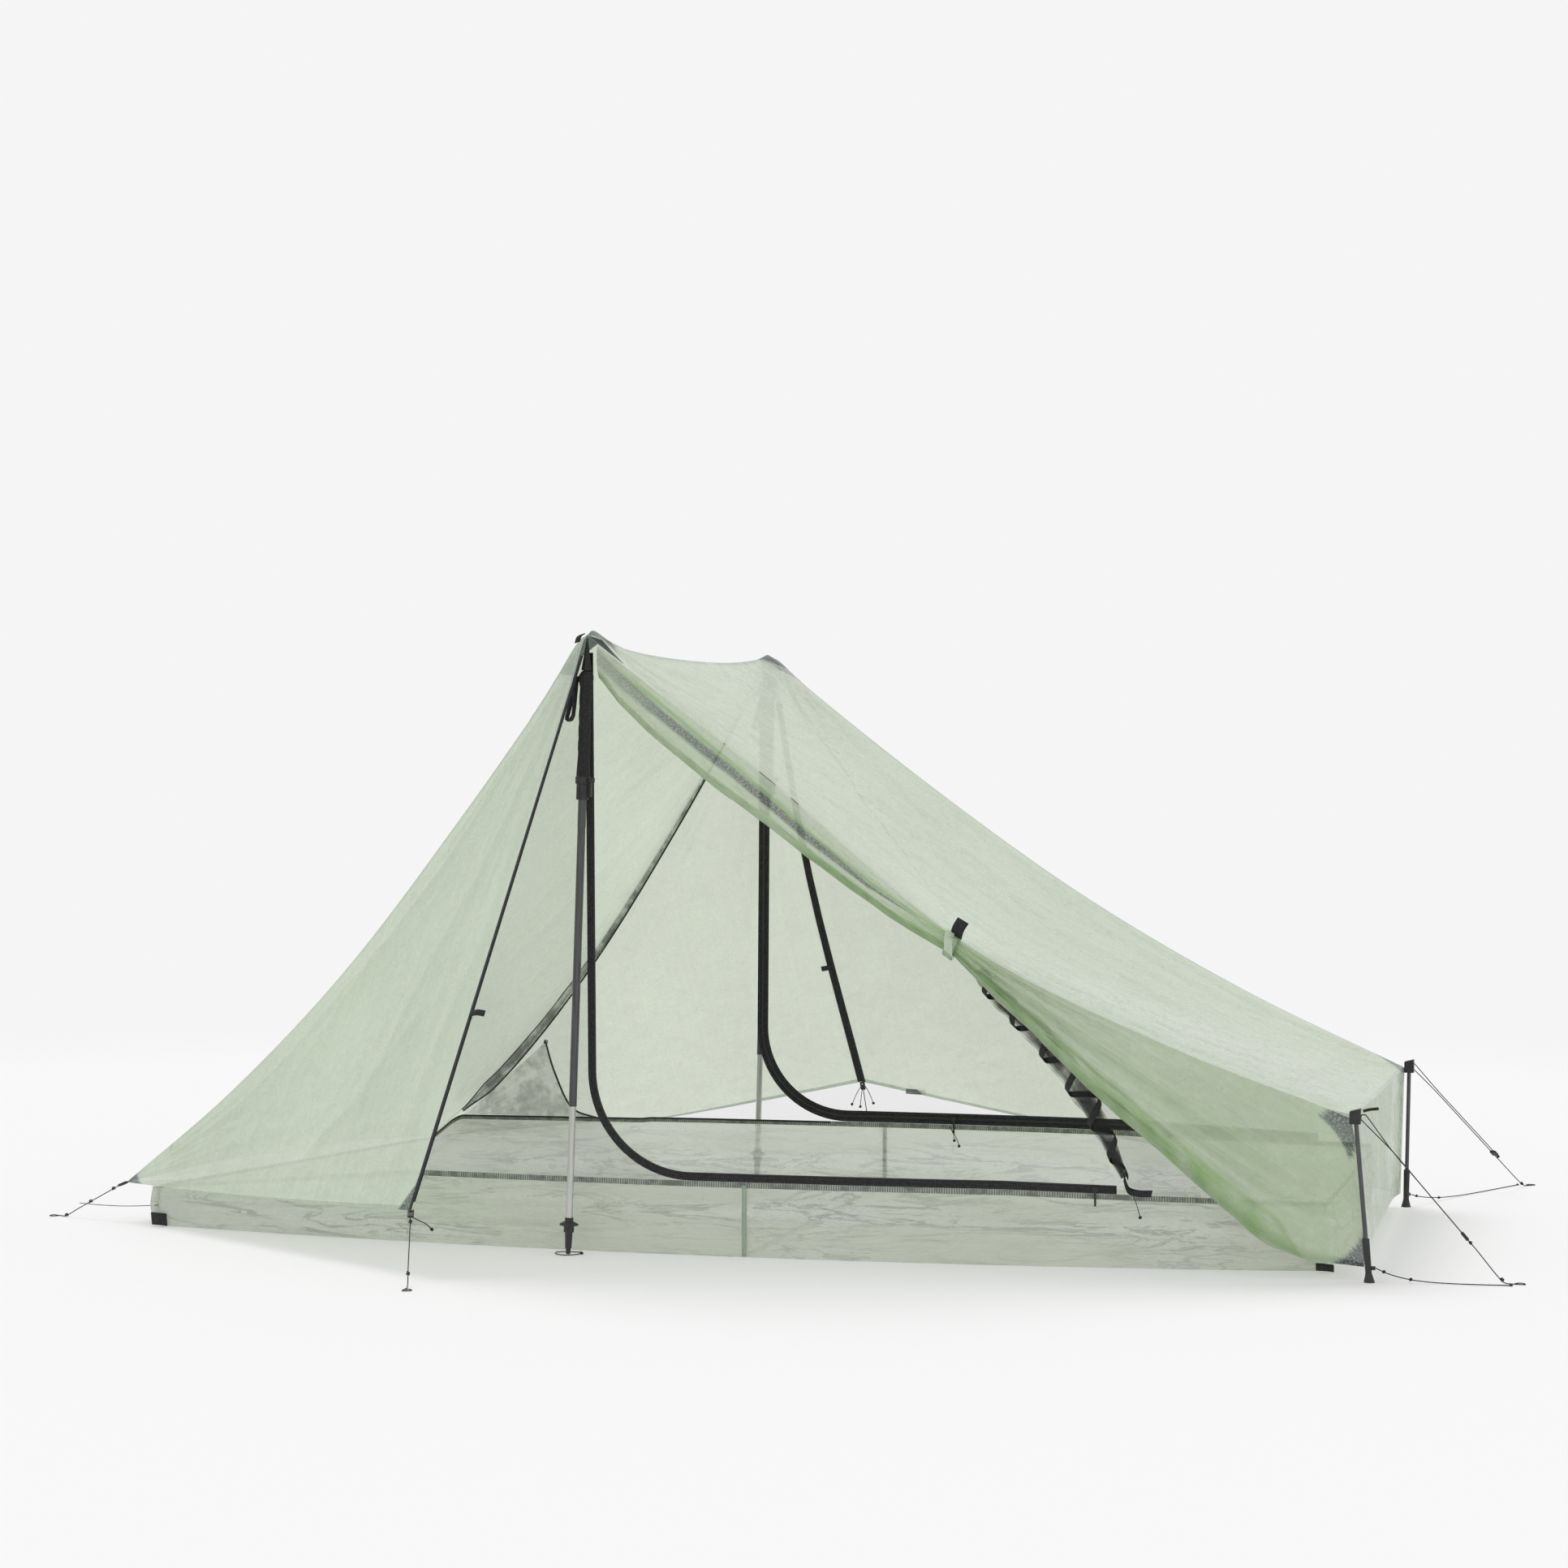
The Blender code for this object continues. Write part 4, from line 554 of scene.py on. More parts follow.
def banded(count, length):
    """Even steps from 0 to 1 with one more line a seam's width in from each end."""
    edge = SEAM_BAND / length
    return [0.0, *(mix(edge, 1 - edge, k / count) for k in range(count + 1)), 1.0]


def seamed(at, across, width, down, length):
    """Rows over a whole panel, in so many steps across its width and down its length."""
    return rows_of(at, banded(across, width), banded(down, length))


def spread(centre, plane, count, depth, reach, seed):
    """Folds that spread from a point where the cloth is held."""

    def at(p):
        away = p - centre
        r = away.length
        angle = math.atan2(away.dot(plane[0]), away.dot(plane[1]))
        n = noise.noise(Vector((angle * count, r * 2.2, seed)))
        fine = noise.noise(Vector((angle * count * 2.7, r * 3.1, seed + 9.0)))
        crest = 0.5 - abs(n) * 1.6
        return depth * (crest * 0.75 + fine * 0.45) * (1 - math.exp(-r / 0.07)) * math.exp(-r / reach)

    return at


def spreads(plane, *held):
    """Folds from each held point: the point, then the folds' count, depth, reach and seed."""
    return [spread(centre, plane, *how) for centre, *how in held]


def crinkled(depth, scale, seed, along=Vector((1, 1, 1))):
    """Short creases all over, as in paper that has been folded away many times."""

    def at(p):
        q = Vector((p.x * along.x, p.y * along.y, p.z * along.z)) * scale + Vector((seed, seed, seed))
        return depth * (0.5 - abs(noise.noise(q)) * 1.5 + 0.5 * noise.noise(q * 2.3))

    return at


def cloth(
    name, rows, grain, slots, folds=(), held_edges=(1, 1, 1, 1), bands=None, body="shelter", blunt=None, masks=None
):
    """A sheet through rows of points: folds push it along its normal and die out at held edges."""
    wide, tall = len(rows[0]), len(rows)
    bm = bmesh.new()
    bmesh.ops.create_grid(bm, x_segments=wide - 1, y_segments=tall - 1, size=1.0)
    bm.verts.ensure_lookup_table()
    face_normal = (rows[0][-1] - rows[-1][0]).cross(rows[-1][-1] - rows[0][0])
    if face_normal.length < 1e-6:
        face_normal = (rows[0][-1] - rows[0][0]).cross(rows[-1][0] - rows[0][0])
    face_normal.normalize()
    grain = (grain - face_normal * grain.dot(face_normal)).normalized()
    across = grain.cross(face_normal)
    flat = {}
    for j, row in enumerate(rows):
        for i, p in enumerate(row):
            du = row[min(i + 1, wide - 1)] - row[max(i - 1, 0)]
            dv = rows[min(j + 1, tall - 1)][i] - rows[max(j - 1, 0)][i]
            normal = du.cross(dv)
            shift = Vector()
            if folds and normal.length > 1e-9:
                ends = (row[0], row[-1], rows[0][i], rows[-1][i])
                window = 1.0
                for held, end in zip(held_edges, ends):
                    if held:
                        window *= smooth_step((p - end).length / 0.045)
                if window > 0:
                    shift = normal.normalized() * window * sum(fold(p) for fold in folds)
            vert = bm.verts[j * wide + i]
            flat[vert] = (p.dot(across), p.dot(grain))
            vert.co = p + shift
            if blunt:
                vert.co += blunt(p)
    layer = bm.loops.layers.uv.new("UVMap")
    for face in bm.faces:
        face.smooth = True
        for loop in face.loops:
            loop[layer].uv = flat[loop.vert]
    if bands:
        for face in bm.faces:
            low_i = min(v.index % wide for v in face.verts)
            low_j = min(v.index // wide for v in face.verts)
            at_edges = (low_i == 0, low_i == wide - 2, low_j == 0, low_j == tall - 2)
            face.material_index = int(any(band and edge for band, edge in zip(bands, at_edges)))
    bmesh.ops.remove_doubles(bm, verts=bm.verts, dist=0.00002)
    made = finished(name, bm, slots, body)
    for word, read in (masks or {}).items():
        mask = made.data.attributes.new(word, "FLOAT", "POINT")
        for vert, value in zip(made.data.vertices, mask.data):
            value.value = read(vert.co)
    return made


def finished(name, bm, slots, body):
    """Turn a bmesh into a piece that rides on a body."""
    mesh = bpy.data.meshes.new(name)
    bm.to_mesh(mesh)
    bm.free()
    for slot in slots:
        mesh.materials.append(slot)
    obj = bpy.data.objects.new(name, mesh)
    scene.collection.objects.link(obj)
    if body:
        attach(obj, body)
    return obj


def stands_for(node):
    """Hide the CAD node that a piece replaces."""
    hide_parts(node)


def declared(obj, rows):
    """Work out a sheet's width and length from the rows it was made from; the results are not kept."""
    width = max(lengthwise(row) for row in rows)
    length = max(lengthwise([row[i] for row in rows]) for i in range(len(rows[0])))
    area = sum(face.area for face in obj.data.polygons)
    length = min(length, 2 * area / width)
    width = max(width, area / length)


def panel(name, node, rows, grain, slots, folds=(), held="stretched", **more):
    """A sheet through rows of points, which stands for a node."""
    made = cloth(name, rows, grain, slots, folds, **more)
    stands_for(node)
    declared(made, rows)
    return made


def ribbon(name, centre, aside, width, thickness, slot):
    """A flat tape along a line of points: aside is the way across it at each point."""
    bm = bmesh.new()
    bmesh.ops.create_grid(bm, x_segments=2, y_segments=len(centre) - 1, size=1.0)
    bm.verts.ensure_lookup_table()
    layer = bm.loops.layers.uv.new("UVMap")
    run = 0.0
    flat = {}
    for j, (p, across) in enumerate(zip(centre, aside)):
        run += (p - centre[j - 1]).length if j else 0.0
        wide = width[j] if isinstance(width, list) else width
        for i, f in enumerate((-0.5, 0.0, 0.5)):
            vert = bm.verts[j * 3 + i]
            vert.co = p + across.normalized() * wide * f
            flat[vert] = (f * wide, run)
    for face in bm.faces:
        face.smooth = True
        for loop in face.loops:
            loop[layer].uv = flat[loop.vert]
    obj = finished(name, bm, [slot], "shelter")
    wall = obj.modifiers.new("thickness", "SOLIDIFY")
    wall.thickness = thickness
    wall.offset = 0.0
    return obj


def pleat(a, b, plane, depth, width):
    """A sharp crease in line from a to b, as tension draws it, seen in the plane of the cloth."""
    flat_a, flat_b = ([p.dot(e) for e in plane] for p in (a, b))
    run = [q - p for p, q in zip(flat_a, flat_b)]
    size = math.hypot(*run)

    def at(p):
        off = [p.dot(e) - q for e, q in zip(plane, flat_a)]
        t = (off[0] * run[0] + off[1] * run[1]) / size**2
        if not 0 < t < 1:
            return 0.0
        wander = 0.012 * math.sin(t * 7.0 + a.x * 9.0) * math.sin(math.pi * t)
        side = abs((off[0] * run[1] - off[1] * run[0]) / size - wander)
        return depth * math.sin(math.pi * t) ** 0.6 * math.exp(-side / width)

    return at


def corner_patch(centre, *reaches):
    """1 on a three-cornered reinforcement with a hollow inner border: reaches are ways and lengths."""

    def at(p):
        off = p - centre
        size = sum((abs(off.dot(way)) / reach) ** 0.75 for way, reach in reaches)
        return smooth_step((1.05 - size) / 0.10)

    return at


def any_of(*masks):
    return lambda p: max(mask(p) for mask in masks)


def tab(name, points, aside, width, slot, thickness=0.0012, at=Vector()):
    """A short sewn strap through a few points, which are given from the point at."""
    spots = [at + Vector(p) for p in points]
    centre = [smooth_through(spots, t) for t in even(12)]
    return ribbon(name, centre, [Vector(aside)] * 13, width, thickness, slot)


# The canopy: head panel, foot panel and foot end wall, sewn along the ridge and the hips. Each
# panel is cut to sagging seams, so it hangs between them; a taped seam shows as a denser band.
RIDGE_SAG = 0.025
HEM_SAG = (0.004, 0.006, 0.004)
HEM_RISE = {"foot": 0.020, "head": 0.015}
CAP_CORNER = CAP_HALF - 0.0007
CAP_HEIGHT = 0.026
WALL_CLEAR = 0.0105
NEAR_FOOT = NEAR_STRUT_TOP + Vector((-CAP_CORNER, CAP_CORNER, -CAP_HEIGHT / 3))
FAR_FOOT = FAR_STRUT_TOP + Vector((-CAP_CORNER, -CAP_CORNER, -CAP_HEIGHT / 3))
NEAR_WALL_FOOT = NEAR_STRUT_FOOT + Vector((-WALL_CLEAR, WALL_CLEAR, 0.030))
FAR_WALL_FOOT = FAR_STRUT_FOOT + Vector((-WALL_CLEAR, -WALL_CLEAR, 0.030))

ridge = seam(NEAR_APEX, FAR_APEX, (RIDGE_SAG * 0.8, RIDGE_SAG, RIDGE_SAG * 0.8))
near_hip = seam(NEAR_APEX, NEAR_FOOT, (0.055, 0.130, 0.087))
far_hip = seam(FAR_APEX, FAR_FOOT, (0.052, 0.078, 0.058))
near_head_hip = seam(NEAR_APEX, NEAR_HEAD, (0.060, 0.095, 0.070))
far_head_hip = seam(FAR_APEX, FAR_HEAD, (0.080, 0.120, 0.095))
head_hem = seam(NEAR_HEAD, FAR_HEAD, (HEM_RISE["head"],) * 3, UP)
foot_seam = seam(NEAR_FOOT, FAR_FOOT, HEM_SAG)
foot_hem = seam(NEAR_WALL_FOOT, FAR_WALL_FOOT, (HEM_RISE["foot"],) * 3, UP)
near_zip = seam(NEAR_APEX, NEAR_VESTIBULE, (0.0,))
far_zip = seam(FAR_APEX, FAR_VESTIBULE, (0.020,), Vector((-1.0, 0.0, 0.0)))
near_vestibule_hem = seam(NEAR_VESTIBULE, NEAR_HEAD, HEM_SAG)
far_vestibule_hem = seam(FAR_VESTIBULE, FAR_HEAD, (0.016, 0.028, 0.022))
far_door_hem = seam(FAR_VESTIBULE, FAR_WALL_FOOT, HEM_SAG)
near_wall_edge = seam(NEAR_FOOT, NEAR_WALL_FOOT, (0.0,))
far_wall_edge = seam(FAR_FOOT, FAR_WALL_FOOT, (0.0,))
head_cloth = surface(ridge, head_hem, near_head_hip, far_head_hip)
foot_cloth = surface(ridge, foot_seam, near_hip, far_hip)

taped_cloth = laminate("taped_cloth", (0.520, 0.610, 0.490, 1.0), (0.560, 0.660, 0.500, 1.0), 0.93, 0.34)
far_cloth = laminate("far_cloth", (0.725, 0.808, 0.678, 1.0), (0.800, 0.855, 0.725, 1.0), 0.86, 0.60, crease=0.6)
# The door's cloth is tinted darker than the canopy's: painted shade on the curtain, which faces away from the lamp.
door_cloth = laminate("door_cloth", (0.620, 0.705, 0.560, 1.0), (0.680, 0.790, 0.580, 1.0), 0.82, 0.36, door=True)
# The end wall's cloth is a darker copy of the canopy's: painted shade.
end_cloth = laminate("end_cloth", (0.470, 0.550, 0.420, 1.0), (0.520, 0.620, 0.450, 1.0), 0.84, 0.36)


def blunted(p):
    """How the cloth stands out round the heads of the poles instead of coming to a point."""
    shift = Vector()
    for apex in (NEAR_APEX, FAR_APEX):
        r = (p - apex).length
        if r < 0.20:
            reach, height = (0.040, 0.016) if apex is NEAR_APEX else (0.026, 0.009)
            shift += UP * height * (r / reach) * math.exp(1 - r / reach)
    return shift


foot_plane = (Vector((0, 1, 0)), Vector((0.86, 0.0, -0.51)))
head_plane = (Vector((0, 1, 0)), Vector((-0.62, 0.0, -0.78)))
foot_folds = spreads(
    foot_plane, (NEAR_APEX, 9.0, 0.0075, 1.1, 1.3), (FAR_APEX, 8.0, 0.0070, 0.8, 4.1),
    (NEAR_FOOT, 9.0, 0.0060, 0.40, 7.7), (FAR_FOOT, 9.0, 0.0060, 0.40, 2.9),
    (near_hip(0.490), 7.0, 0.0050, 0.30, 5.2),
)
foot_folds.append(crinkled(0.0016, 9.0, 3.0, Vector((0.5, 1.4, 0.5))))
PLEATS = [
    ((1.0, 0.01), (0.10, 0.50), 0.0090), ((0.93, 0.06), (0.42, 0.78), 0.0075), ((1.0, 0.12), (0.72, 0.93), 0.0070),
    ((0.30, 0.02), (0.20, 0.62), 0.0045), ((0.06, 0.50), (0.16, 0.99), 0.0085), ((0.07, 0.50), (0.40, 0.97), 0.0070),
    ((0.05, 0.52), (0.06, 0.97), 0.0070), ((0.62, 0.02), (0.46, 0.60), 0.0050), ((0.98, 0.40), (0.90, 0.97), 0.0060),
]
# Narrower copies of the pleats, along which the roof is painted with streaks of sheen.
sheen_streaks = []
for (u0, v0), (u1, v1), depth in PLEATS:
    ends = foot_cloth(u0, v0), foot_cloth(u1, v1)
    foot_folds.append(pleat(*ends, foot_plane, depth, 0.016))
    sheen_streaks.append(pleat(*ends, foot_plane, depth, 0.007))


def pleats_on(at, plane, ends, depth, width=0.020):
    """Long creases on a panel, each from one (u, v) to another."""
    return [pleat(at(*start), at(*end), plane, depth, width) for start, end in ends]


def roof_painted_sheen(p):
    """Painted sheen on the roof: whitish where it stands for the film's gloss, partly the whitening of creased film,
    by the ridge, towards the foot and along the creases.
    """
    off = p.y - NEAR_APEX.y
    t = smooth_step((p.x - 0.45) / 0.95)
    low = 1.25 * t * math.exp(-(((off - 0.16 - 0.26 * t) / (0.09 + 0.20 * t)) ** 2))
    top = 0.8 * math.exp(-(((p.x - 0.10) / 0.09) ** 2)) * smooth_step((off - 0.45) / 0.3)
    patchy = min(1.0, 0.95 * low + top) * (0.55 + 0.45 * noise.noise(Vector((p.x * 3.0, p.y * 9.0, 2.0))))
    return min(1.0, max(0.0, patchy, 120.0 * sum(crease(p) for crease in sheen_streaks)))


ridge_way = (FAR_APEX - NEAR_APEX).normalized()
roof_patches = any_of(
    corner_patch(NEAR_APEX, (ridge_way, 0.22), (foot_plane[1], 0.075)),
    corner_patch(FAR_APEX, (ridge_way, 0.10), (foot_plane[1], 0.060)),
    corner_patch(FAR_FOOT, (ridge_way, 0.085), (foot_plane[1], 0.075)),
    corner_patch(NEAR_FOOT, (ridge_way, 0.050), (foot_plane[1], 0.045)),
)
foot_rows = seamed(foot_cloth, 120, 1.2, 170, 1.62)
panel(
    "foot_panel", "fly_foot_panel", foot_rows, foot_plane[1], [canopy_cloth, taped_cloth], foot_folds,
    bands=(1, 1, 1, 1), blunt=blunted, masks={"worn": roof_painted_sheen, "band": roof_patches},
)


def diagonal_crease(p):
    """The crease across the head panel, from the far peak to the near corner."""
    way = (NEAR_HEAD - FAR_APEX).normalized()
    off = p - FAR_APEX
    side = off - way * off.dot(way)
    return -0.022 * math.exp(-side.length / 0.16)


head_folds = [diagonal_crease] + spreads(
    head_plane, (NEAR_APEX, 9.0, 0.0065, 0.8, 11.3), (FAR_APEX, 9.0, 0.0070, 0.8, 14.6),
    (NEAR_HEAD, 8.0, 0.0060, 0.45, 17.9), (FAR_HEAD, 8.0, 0.0060, 0.45, 12.9),
)
head_folds.append(crinkled(0.0018, 10.0, 13.0))
head_pleats = (
    ((0.03, 0.04), (0.22, 0.80)), ((0.05, 0.02), (0.45, 0.95)), ((0.97, 0.03), (0.70, 0.92)),
    ((0.96, 0.06), (0.45, 0.70)),
)
head_folds += pleats_on(head_cloth, head_plane, head_pleats, 0.008)
head_patches = any_of(
    corner_patch(FAR_APEX, (ridge_way, 0.10), (head_plane[1], 0.080)),
    corner_patch(NEAR_HEAD, (ridge_way, 0.060), (head_plane[1], 0.060)),
)
panel(
    "head_panel", "fly_head_panel", seamed(head_cloth, 110, 1.2, 140, 1.5), head_plane[1], [head_shade, taped_cloth],
    head_folds, bands=(1, 1, 1, 1), blunt=blunted, masks={"band": head_patches},
)

end_plane = (Vector((0, 1, 0)), Vector((0, 0, -1)))
end_folds = spreads(end_plane, (NEAR_FOOT, 7.0, 0.0060, 0.30, 21.0), (FAR_FOOT, 7.0, 0.0060, 0.30, 23.0))
end_folds.append(crinkled(0.0020, 16.0, 24.0))
end_rows = seamed(surface(foot_seam, foot_hem, near_wall_edge, far_wall_edge), 110, 1.09, 30, 0.27)
end_patches = any_of(
    corner_patch(FAR_FOOT, (ridge_way, 0.050), (UP, 0.050)),
    corner_patch(NEAR_FOOT, (ridge_way, 0.040), (UP, 0.060)),
    corner_patch(NEAR_WALL_FOOT, (ridge_way, 0.050), (UP, 0.060)),
)
# Its second mask paints random whitish glints on the end wall: painted highlights.
panel(
    "foot_end_cloth", "foot_end_wall", end_rows, end_plane[1], [end_cloth, taped_cloth], end_folds,
    bands=(1, 1, 0, 1), masks={"band": end_patches, "worn": lambda p: max(0.0, 0.05 + noise.noise(p * 9.0))},
)

# The vestibules: three-cornered panels that reach from a peak to a pegged corner, with a zip
# down the edge where the door meets them. The far one has its door closed.
zip_way = (NEAR_VESTIBULE - NEAR_APEX).normalized()
hem_way = (NEAR_VESTIBULE - NEAR_HEAD).normalized()
vestibule_plane = (hem_way, zip_way)
near_vestibule_folds = spreads(
    vestibule_plane, (NEAR_APEX, 15.0, 0.0055, 0.9, 31.0), (NEAR_HEAD, 9.0, 0.0050, 0.45, 33.0),
    (NEAR_VESTIBULE, 9.0, 0.0050, 0.30, 35.0),
)
near_vestibule_folds.append(crinkled(0.0016, 14.0, 37.0))
near_cloth = surface(near_head_hip, near_vestibule_hem, near_zip, ends_at(NEAR_HEAD))
near_pleats = (
    ((0.03, 0.10), (0.30, 0.90)), ((0.06, 0.05), (0.62, 0.60)), ((0.02, 0.30), (0.10, 0.97)),
    ((0.30, 0.20), (0.85, 0.60)), ((0.12, 0.55), (0.45, 0.97)),
)
near_vestibule_folds += pleats_on(near_cloth, vestibule_plane, near_pleats, 0.007)
near_patches = any_of(
    corner_patch(NEAR_VESTIBULE, (hem_way, 0.045), (zip_way, 0.075)),
    corner_patch(NEAR_HEAD, (hem_way, 0.070), (UP, 0.045)),
)
panel(
    "near_vestibule", "near_vestibule_panel", seamed(near_cloth, 150, 1.5, 110, 1.15), zip_way,
    [canopy_cloth, taped_cloth], near_vestibule_folds, held_edges=(1, 0, 1, 0), bands=(1, 0, 1, 1), blunt=blunted,
    masks={"band": near_patches},
)

far_way = (FAR_VESTIBULE - FAR_APEX).normalized()
far_across = (FAR_VESTIBULE - FAR_HEAD).normalized()
far_plane = (far_across, far_way)
far_vestibule_folds = spreads(
    far_plane, (FAR_APEX, 12.0, 0.0055, 0.8, 41.0), (FAR_HEAD, 9.0, 0.0050, 0.45, 43.0),
    (FAR_VESTIBULE, 9.0, 0.0050, 0.30, 45.0),
)
far_vestibule_folds.append(crinkled(0.0016, 12.0, 47.0))
far_vestibule_at = surface(far_head_hip, far_vestibule_hem, far_zip, ends_at(FAR_HEAD))
far_pleats = (((0.03, 0.10), (0.25, 0.90)), ((0.05, 0.04), (0.60, 0.55)), ((0.02, 0.30), (0.06, 0.97)))
far_vestibule_folds += pleats_on(far_vestibule_at, far_plane, far_pleats, 0.0025)
panel(
    "far_vestibule", "far_vestibule_panel", seamed(far_vestibule_at, 130, 1.4, 100, 1.05), far_way,
    [far_cloth, taped_cloth], far_vestibule_folds, held_edges=(1, 0, 1, 0), bands=(1, 0, 1, 1), blunt=blunted,
)

door_plane = ((FAR_FOOT - FAR_VESTIBULE).normalized(), far_way)
far_door_folds = spreads(
    door_plane, (FAR_APEX, 12.0, 0.0055, 0.8, 51.0), (FAR_WALL_FOOT, 9.0, 0.0050, 0.45, 53.0),
    (FAR_VESTIBULE, 9.0, 0.0050, 0.30, 55.0),
)
far_door_folds.append(crinkled(0.0016, 12.0, 57.0))
far_door_at = surface(far_hip, far_door_hem, far_zip, far_wall_edge)
far_door_pleats = (
    ((0.02, 0.06), (0.10, 0.92)), ((0.04, 0.04), (0.30, 0.95)), ((0.06, 0.03), (0.55, 0.90)),
    ((0.01, 0.20), (0.04, 0.97)),
)
far_door_folds += pleats_on(far_door_at, door_plane, far_door_pleats, 0.007)
far_door = panel(
    "far_door_cloth", "far_door_panel", seamed(far_door_at, 150, 1.62, 100, 1.0), far_way, [far_cloth, taped_cloth],
    far_door_folds, held_edges=(1, 1, 1, 0), bands=(1, 1, 0, 1), body=None,
)
hinge_way = Vector((0.847823, -0.05534, -0.527383))
drop = FAR_VESTIBULE - FAR_APEX
drop = (drop - hinge_way * drop.dot(hinge_way)).normalized()
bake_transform(far_door)

# The near door: one cloth that hangs from the hip. As far as its tie it is rolled round its zip
# edge; beyond the tie the roll opens and the door falls as a curtain to the foot corner.
DOOR_START = 0.014
TIE_AT = 0.490
DOOR_DEPTH = [
    (0.0, 0.050), (0.04, 0.078), (0.08, 0.092), (0.16, 0.098), (0.30, 0.086), (0.40, 0.062), (TIE_AT, 0.036),
    (0.60, 0.092), (0.68, 0.149), (0.76, 0.193), (0.84, 0.248), (0.90, 0.290), (0.94, 0.296), (1.0, 0.274),
]
ROLL = [
    (0.0, 0.0070), (0.10, 0.0100), (0.30, 0.0115), (TIE_AT - 0.03, 0.0095), (TIE_AT, 0.0075), (0.60, 0.0150),
    (0.75, 0.0220), (0.88, 0.0250), (0.93, 0.0120), (1.0, 0.0040),
]
BULGE = [(0.0, 0.004), (0.12, 0.014), (0.30, 0.016), (TIE_AT, 0.007), (0.60, 0.014), (0.80, 0.034), (1.0, 0.002)]
HANG_STEPS = 44
ROLL_STEPS = 30
ROLL_TURNS = 1.6


def along(points, t):
    """Read t on a list of (t, value) pairs, with a straight line between pairs."""
    for (t0, v0), (t1, v1) in zip(points, points[1:]):
        if t <= t1:
            return mix(v0, v1, (t - t0) / (t1 - t0))
    return points[-1][1]


def curtain_fold(s, f):
    """Folds that spread from the tie along the curtain, sharpest near it. Crests are positive."""
    past = max(0.0, s - TIE_AT)
    crest = noise.noise(Vector((f * 6.4 + 0.5 * past, past * 2.2, 3.3)))
    fine = noise.noise(Vector((f * 17.0, past * 5.0, 8.1)))
    return smooth_step(past / 0.05) * ((0.45 - abs(crest) * 1.9) + 0.35 * fine)


def hem_share(s):
    """Where, down the hang, the folded strip along the curtain's edge begins."""
    return mix(0.66, 0.84, min(1.0, max(0.0, s - TIE_AT) / 0.30)) + 0.30 * smooth_step((s - 0.90) / 0.05)


def door_point(s, j):
    """The door's cloth at s along the hip: j counts down the hang and then round the roll."""
    hip = near_hip(s)
    depth, radius, bulge = along(DOOR_DEPTH, s), along(ROLL, s), along(BULGE, s)
    past = max(0.0, s - TIE_AT)
    hang = depth - radius
    f = min(1.0, j / HANG_STEPS)
    corner = smooth_step((s - 0.86) / 0.14)
    fold = curtain_fold(s, f) * 0.014 * smooth_step(f / 0.12) * (1 - 0.8 * corner)
    fold += 0.0035 * noise.noise(Vector((f * 13.0, s * 30.0, 8.1))) * smooth_step(f / 0.2) * (1 - corner)
    hip_fold = 0.011 * math.exp(-(((f - 0.16) / 0.10) ** 2)) * smooth_step(s / 0.08)
    hip_fold *= 1 - smooth_step((s - 0.44) / 0.05)
    spread_out = 0.105 * past * (1 - corner) * math.sin(f * math.pi / 2)
    hem_fold = 0.005 * smooth_step((f - hem_share(s)) / 0.03) * smooth_step(past / 0.08) * (1 - corner)
    out = bulge * math.sin(math.pi * f) + spread_out + fold + hip_fold + hem_fold
    toward_strut = 0.024 * f * corner + 0.010 * math.sin(math.pi * f) * smooth_step((s - 0.90) / 0.10)
    point = hip + Vector((toward_strut, -out - 0.0008, -hang * f - 0.0012))
    if j <= HANG_STEPS:
        return point
    slim = mix(0.62, 0.26, smooth_step(past / 0.10))
    turn_at = point + Vector((0.0, radius * (0.55 + slim * 0.2), -radius * 0.25))
    g = (j - HANG_STEPS) / ROLL_STEPS
    a = math.tau * ROLL_TURNS * g
    r = radius * (1 - 0.55 * g)
    shake = 1 + 0.16 * noise.noise(Vector((s * 30.0, a * 0.7, 5.0)))
    return turn_at + Vector((0.0, -math.cos(a) * r * slim * shake, -math.sin(a) * r * shake))


CREASE_SHARE = [(0.0, 0.10), (0.10, 0.16), (0.20, 0.24), (0.30, 0.42), (0.38, 0.44), (0.44, 0.26), (TIE_AT, 0.12)]


def door_layers_and_shade(s, f):
    """Where the door is tinted darker: doubled cloth in the fold at the hip, in the roll and along the curtain's
    edge, and painted shade in the hip fold, by the tie and in the hollows of the curtain's folds.
    """
    shimmer = noise.noise(Vector((s * 46.0, f * 5.0, 6.0)))
    if s < TIE_AT:
        off = f - along(CREASE_SHARE, s)
        # Under the hip the fold is darker, doubled cloth with painted shade; towards the tie the roll darkens too,
        # painted shade.
        fold = math.exp(-((off / (0.045 if off < 0 else 0.10)) ** 2)) * smooth_step((s - 0.02) / 0.08)
        rolled = smooth_step((f - 0.86) / 0.10) * (0.30 + 0.55 * smooth_step((s - 0.26) / 0.06) + 0.25 * shimmer)
        return min(1.0, max(fold, rolled, 0.75 * smooth_step((s - 0.40) / 0.08)))
    past = s - TIE_AT
    fold_line = math.exp(-(((f - hem_share(s)) / 0.025) ** 2))
    edge = smooth_step((f - hem_share(s)) / 0.03) * (0.70 + 0.60 * shimmer) + 0.6 * fold_line
    # By the tie and in the hollows of the curtain's folds the door is darkened: painted shade.
    throat = 0.85 * math.exp(-past / 0.10)
    hollow = 0.55 * max(0.0, -curtain_fold(s, f)) * math.exp(-past / 0.30)
    return min(1.0, max(0.0, edge, throat + hollow, 0.16 + hollow))


def door_grey(s, f, p):
    """The grey reinforcement that shows through the folded cloth, and the patches at the strut."""
    middle = along(CREASE_SHARE, s) + mix(0.32, 0.15, min(1.0, s / 0.34))
    wide = mix(0.26, 0.13, smooth_step(s / 0.12)) * smooth_step((0.47 - s) / 0.16)
    band = smooth_step(1.5 - abs(f - middle) / max(wide, 0.001)) if s < 0.46 else 0.0
    return max(band * mix(0.45, 0.9, smooth_step(s / 0.14)), patches_of_door(p))


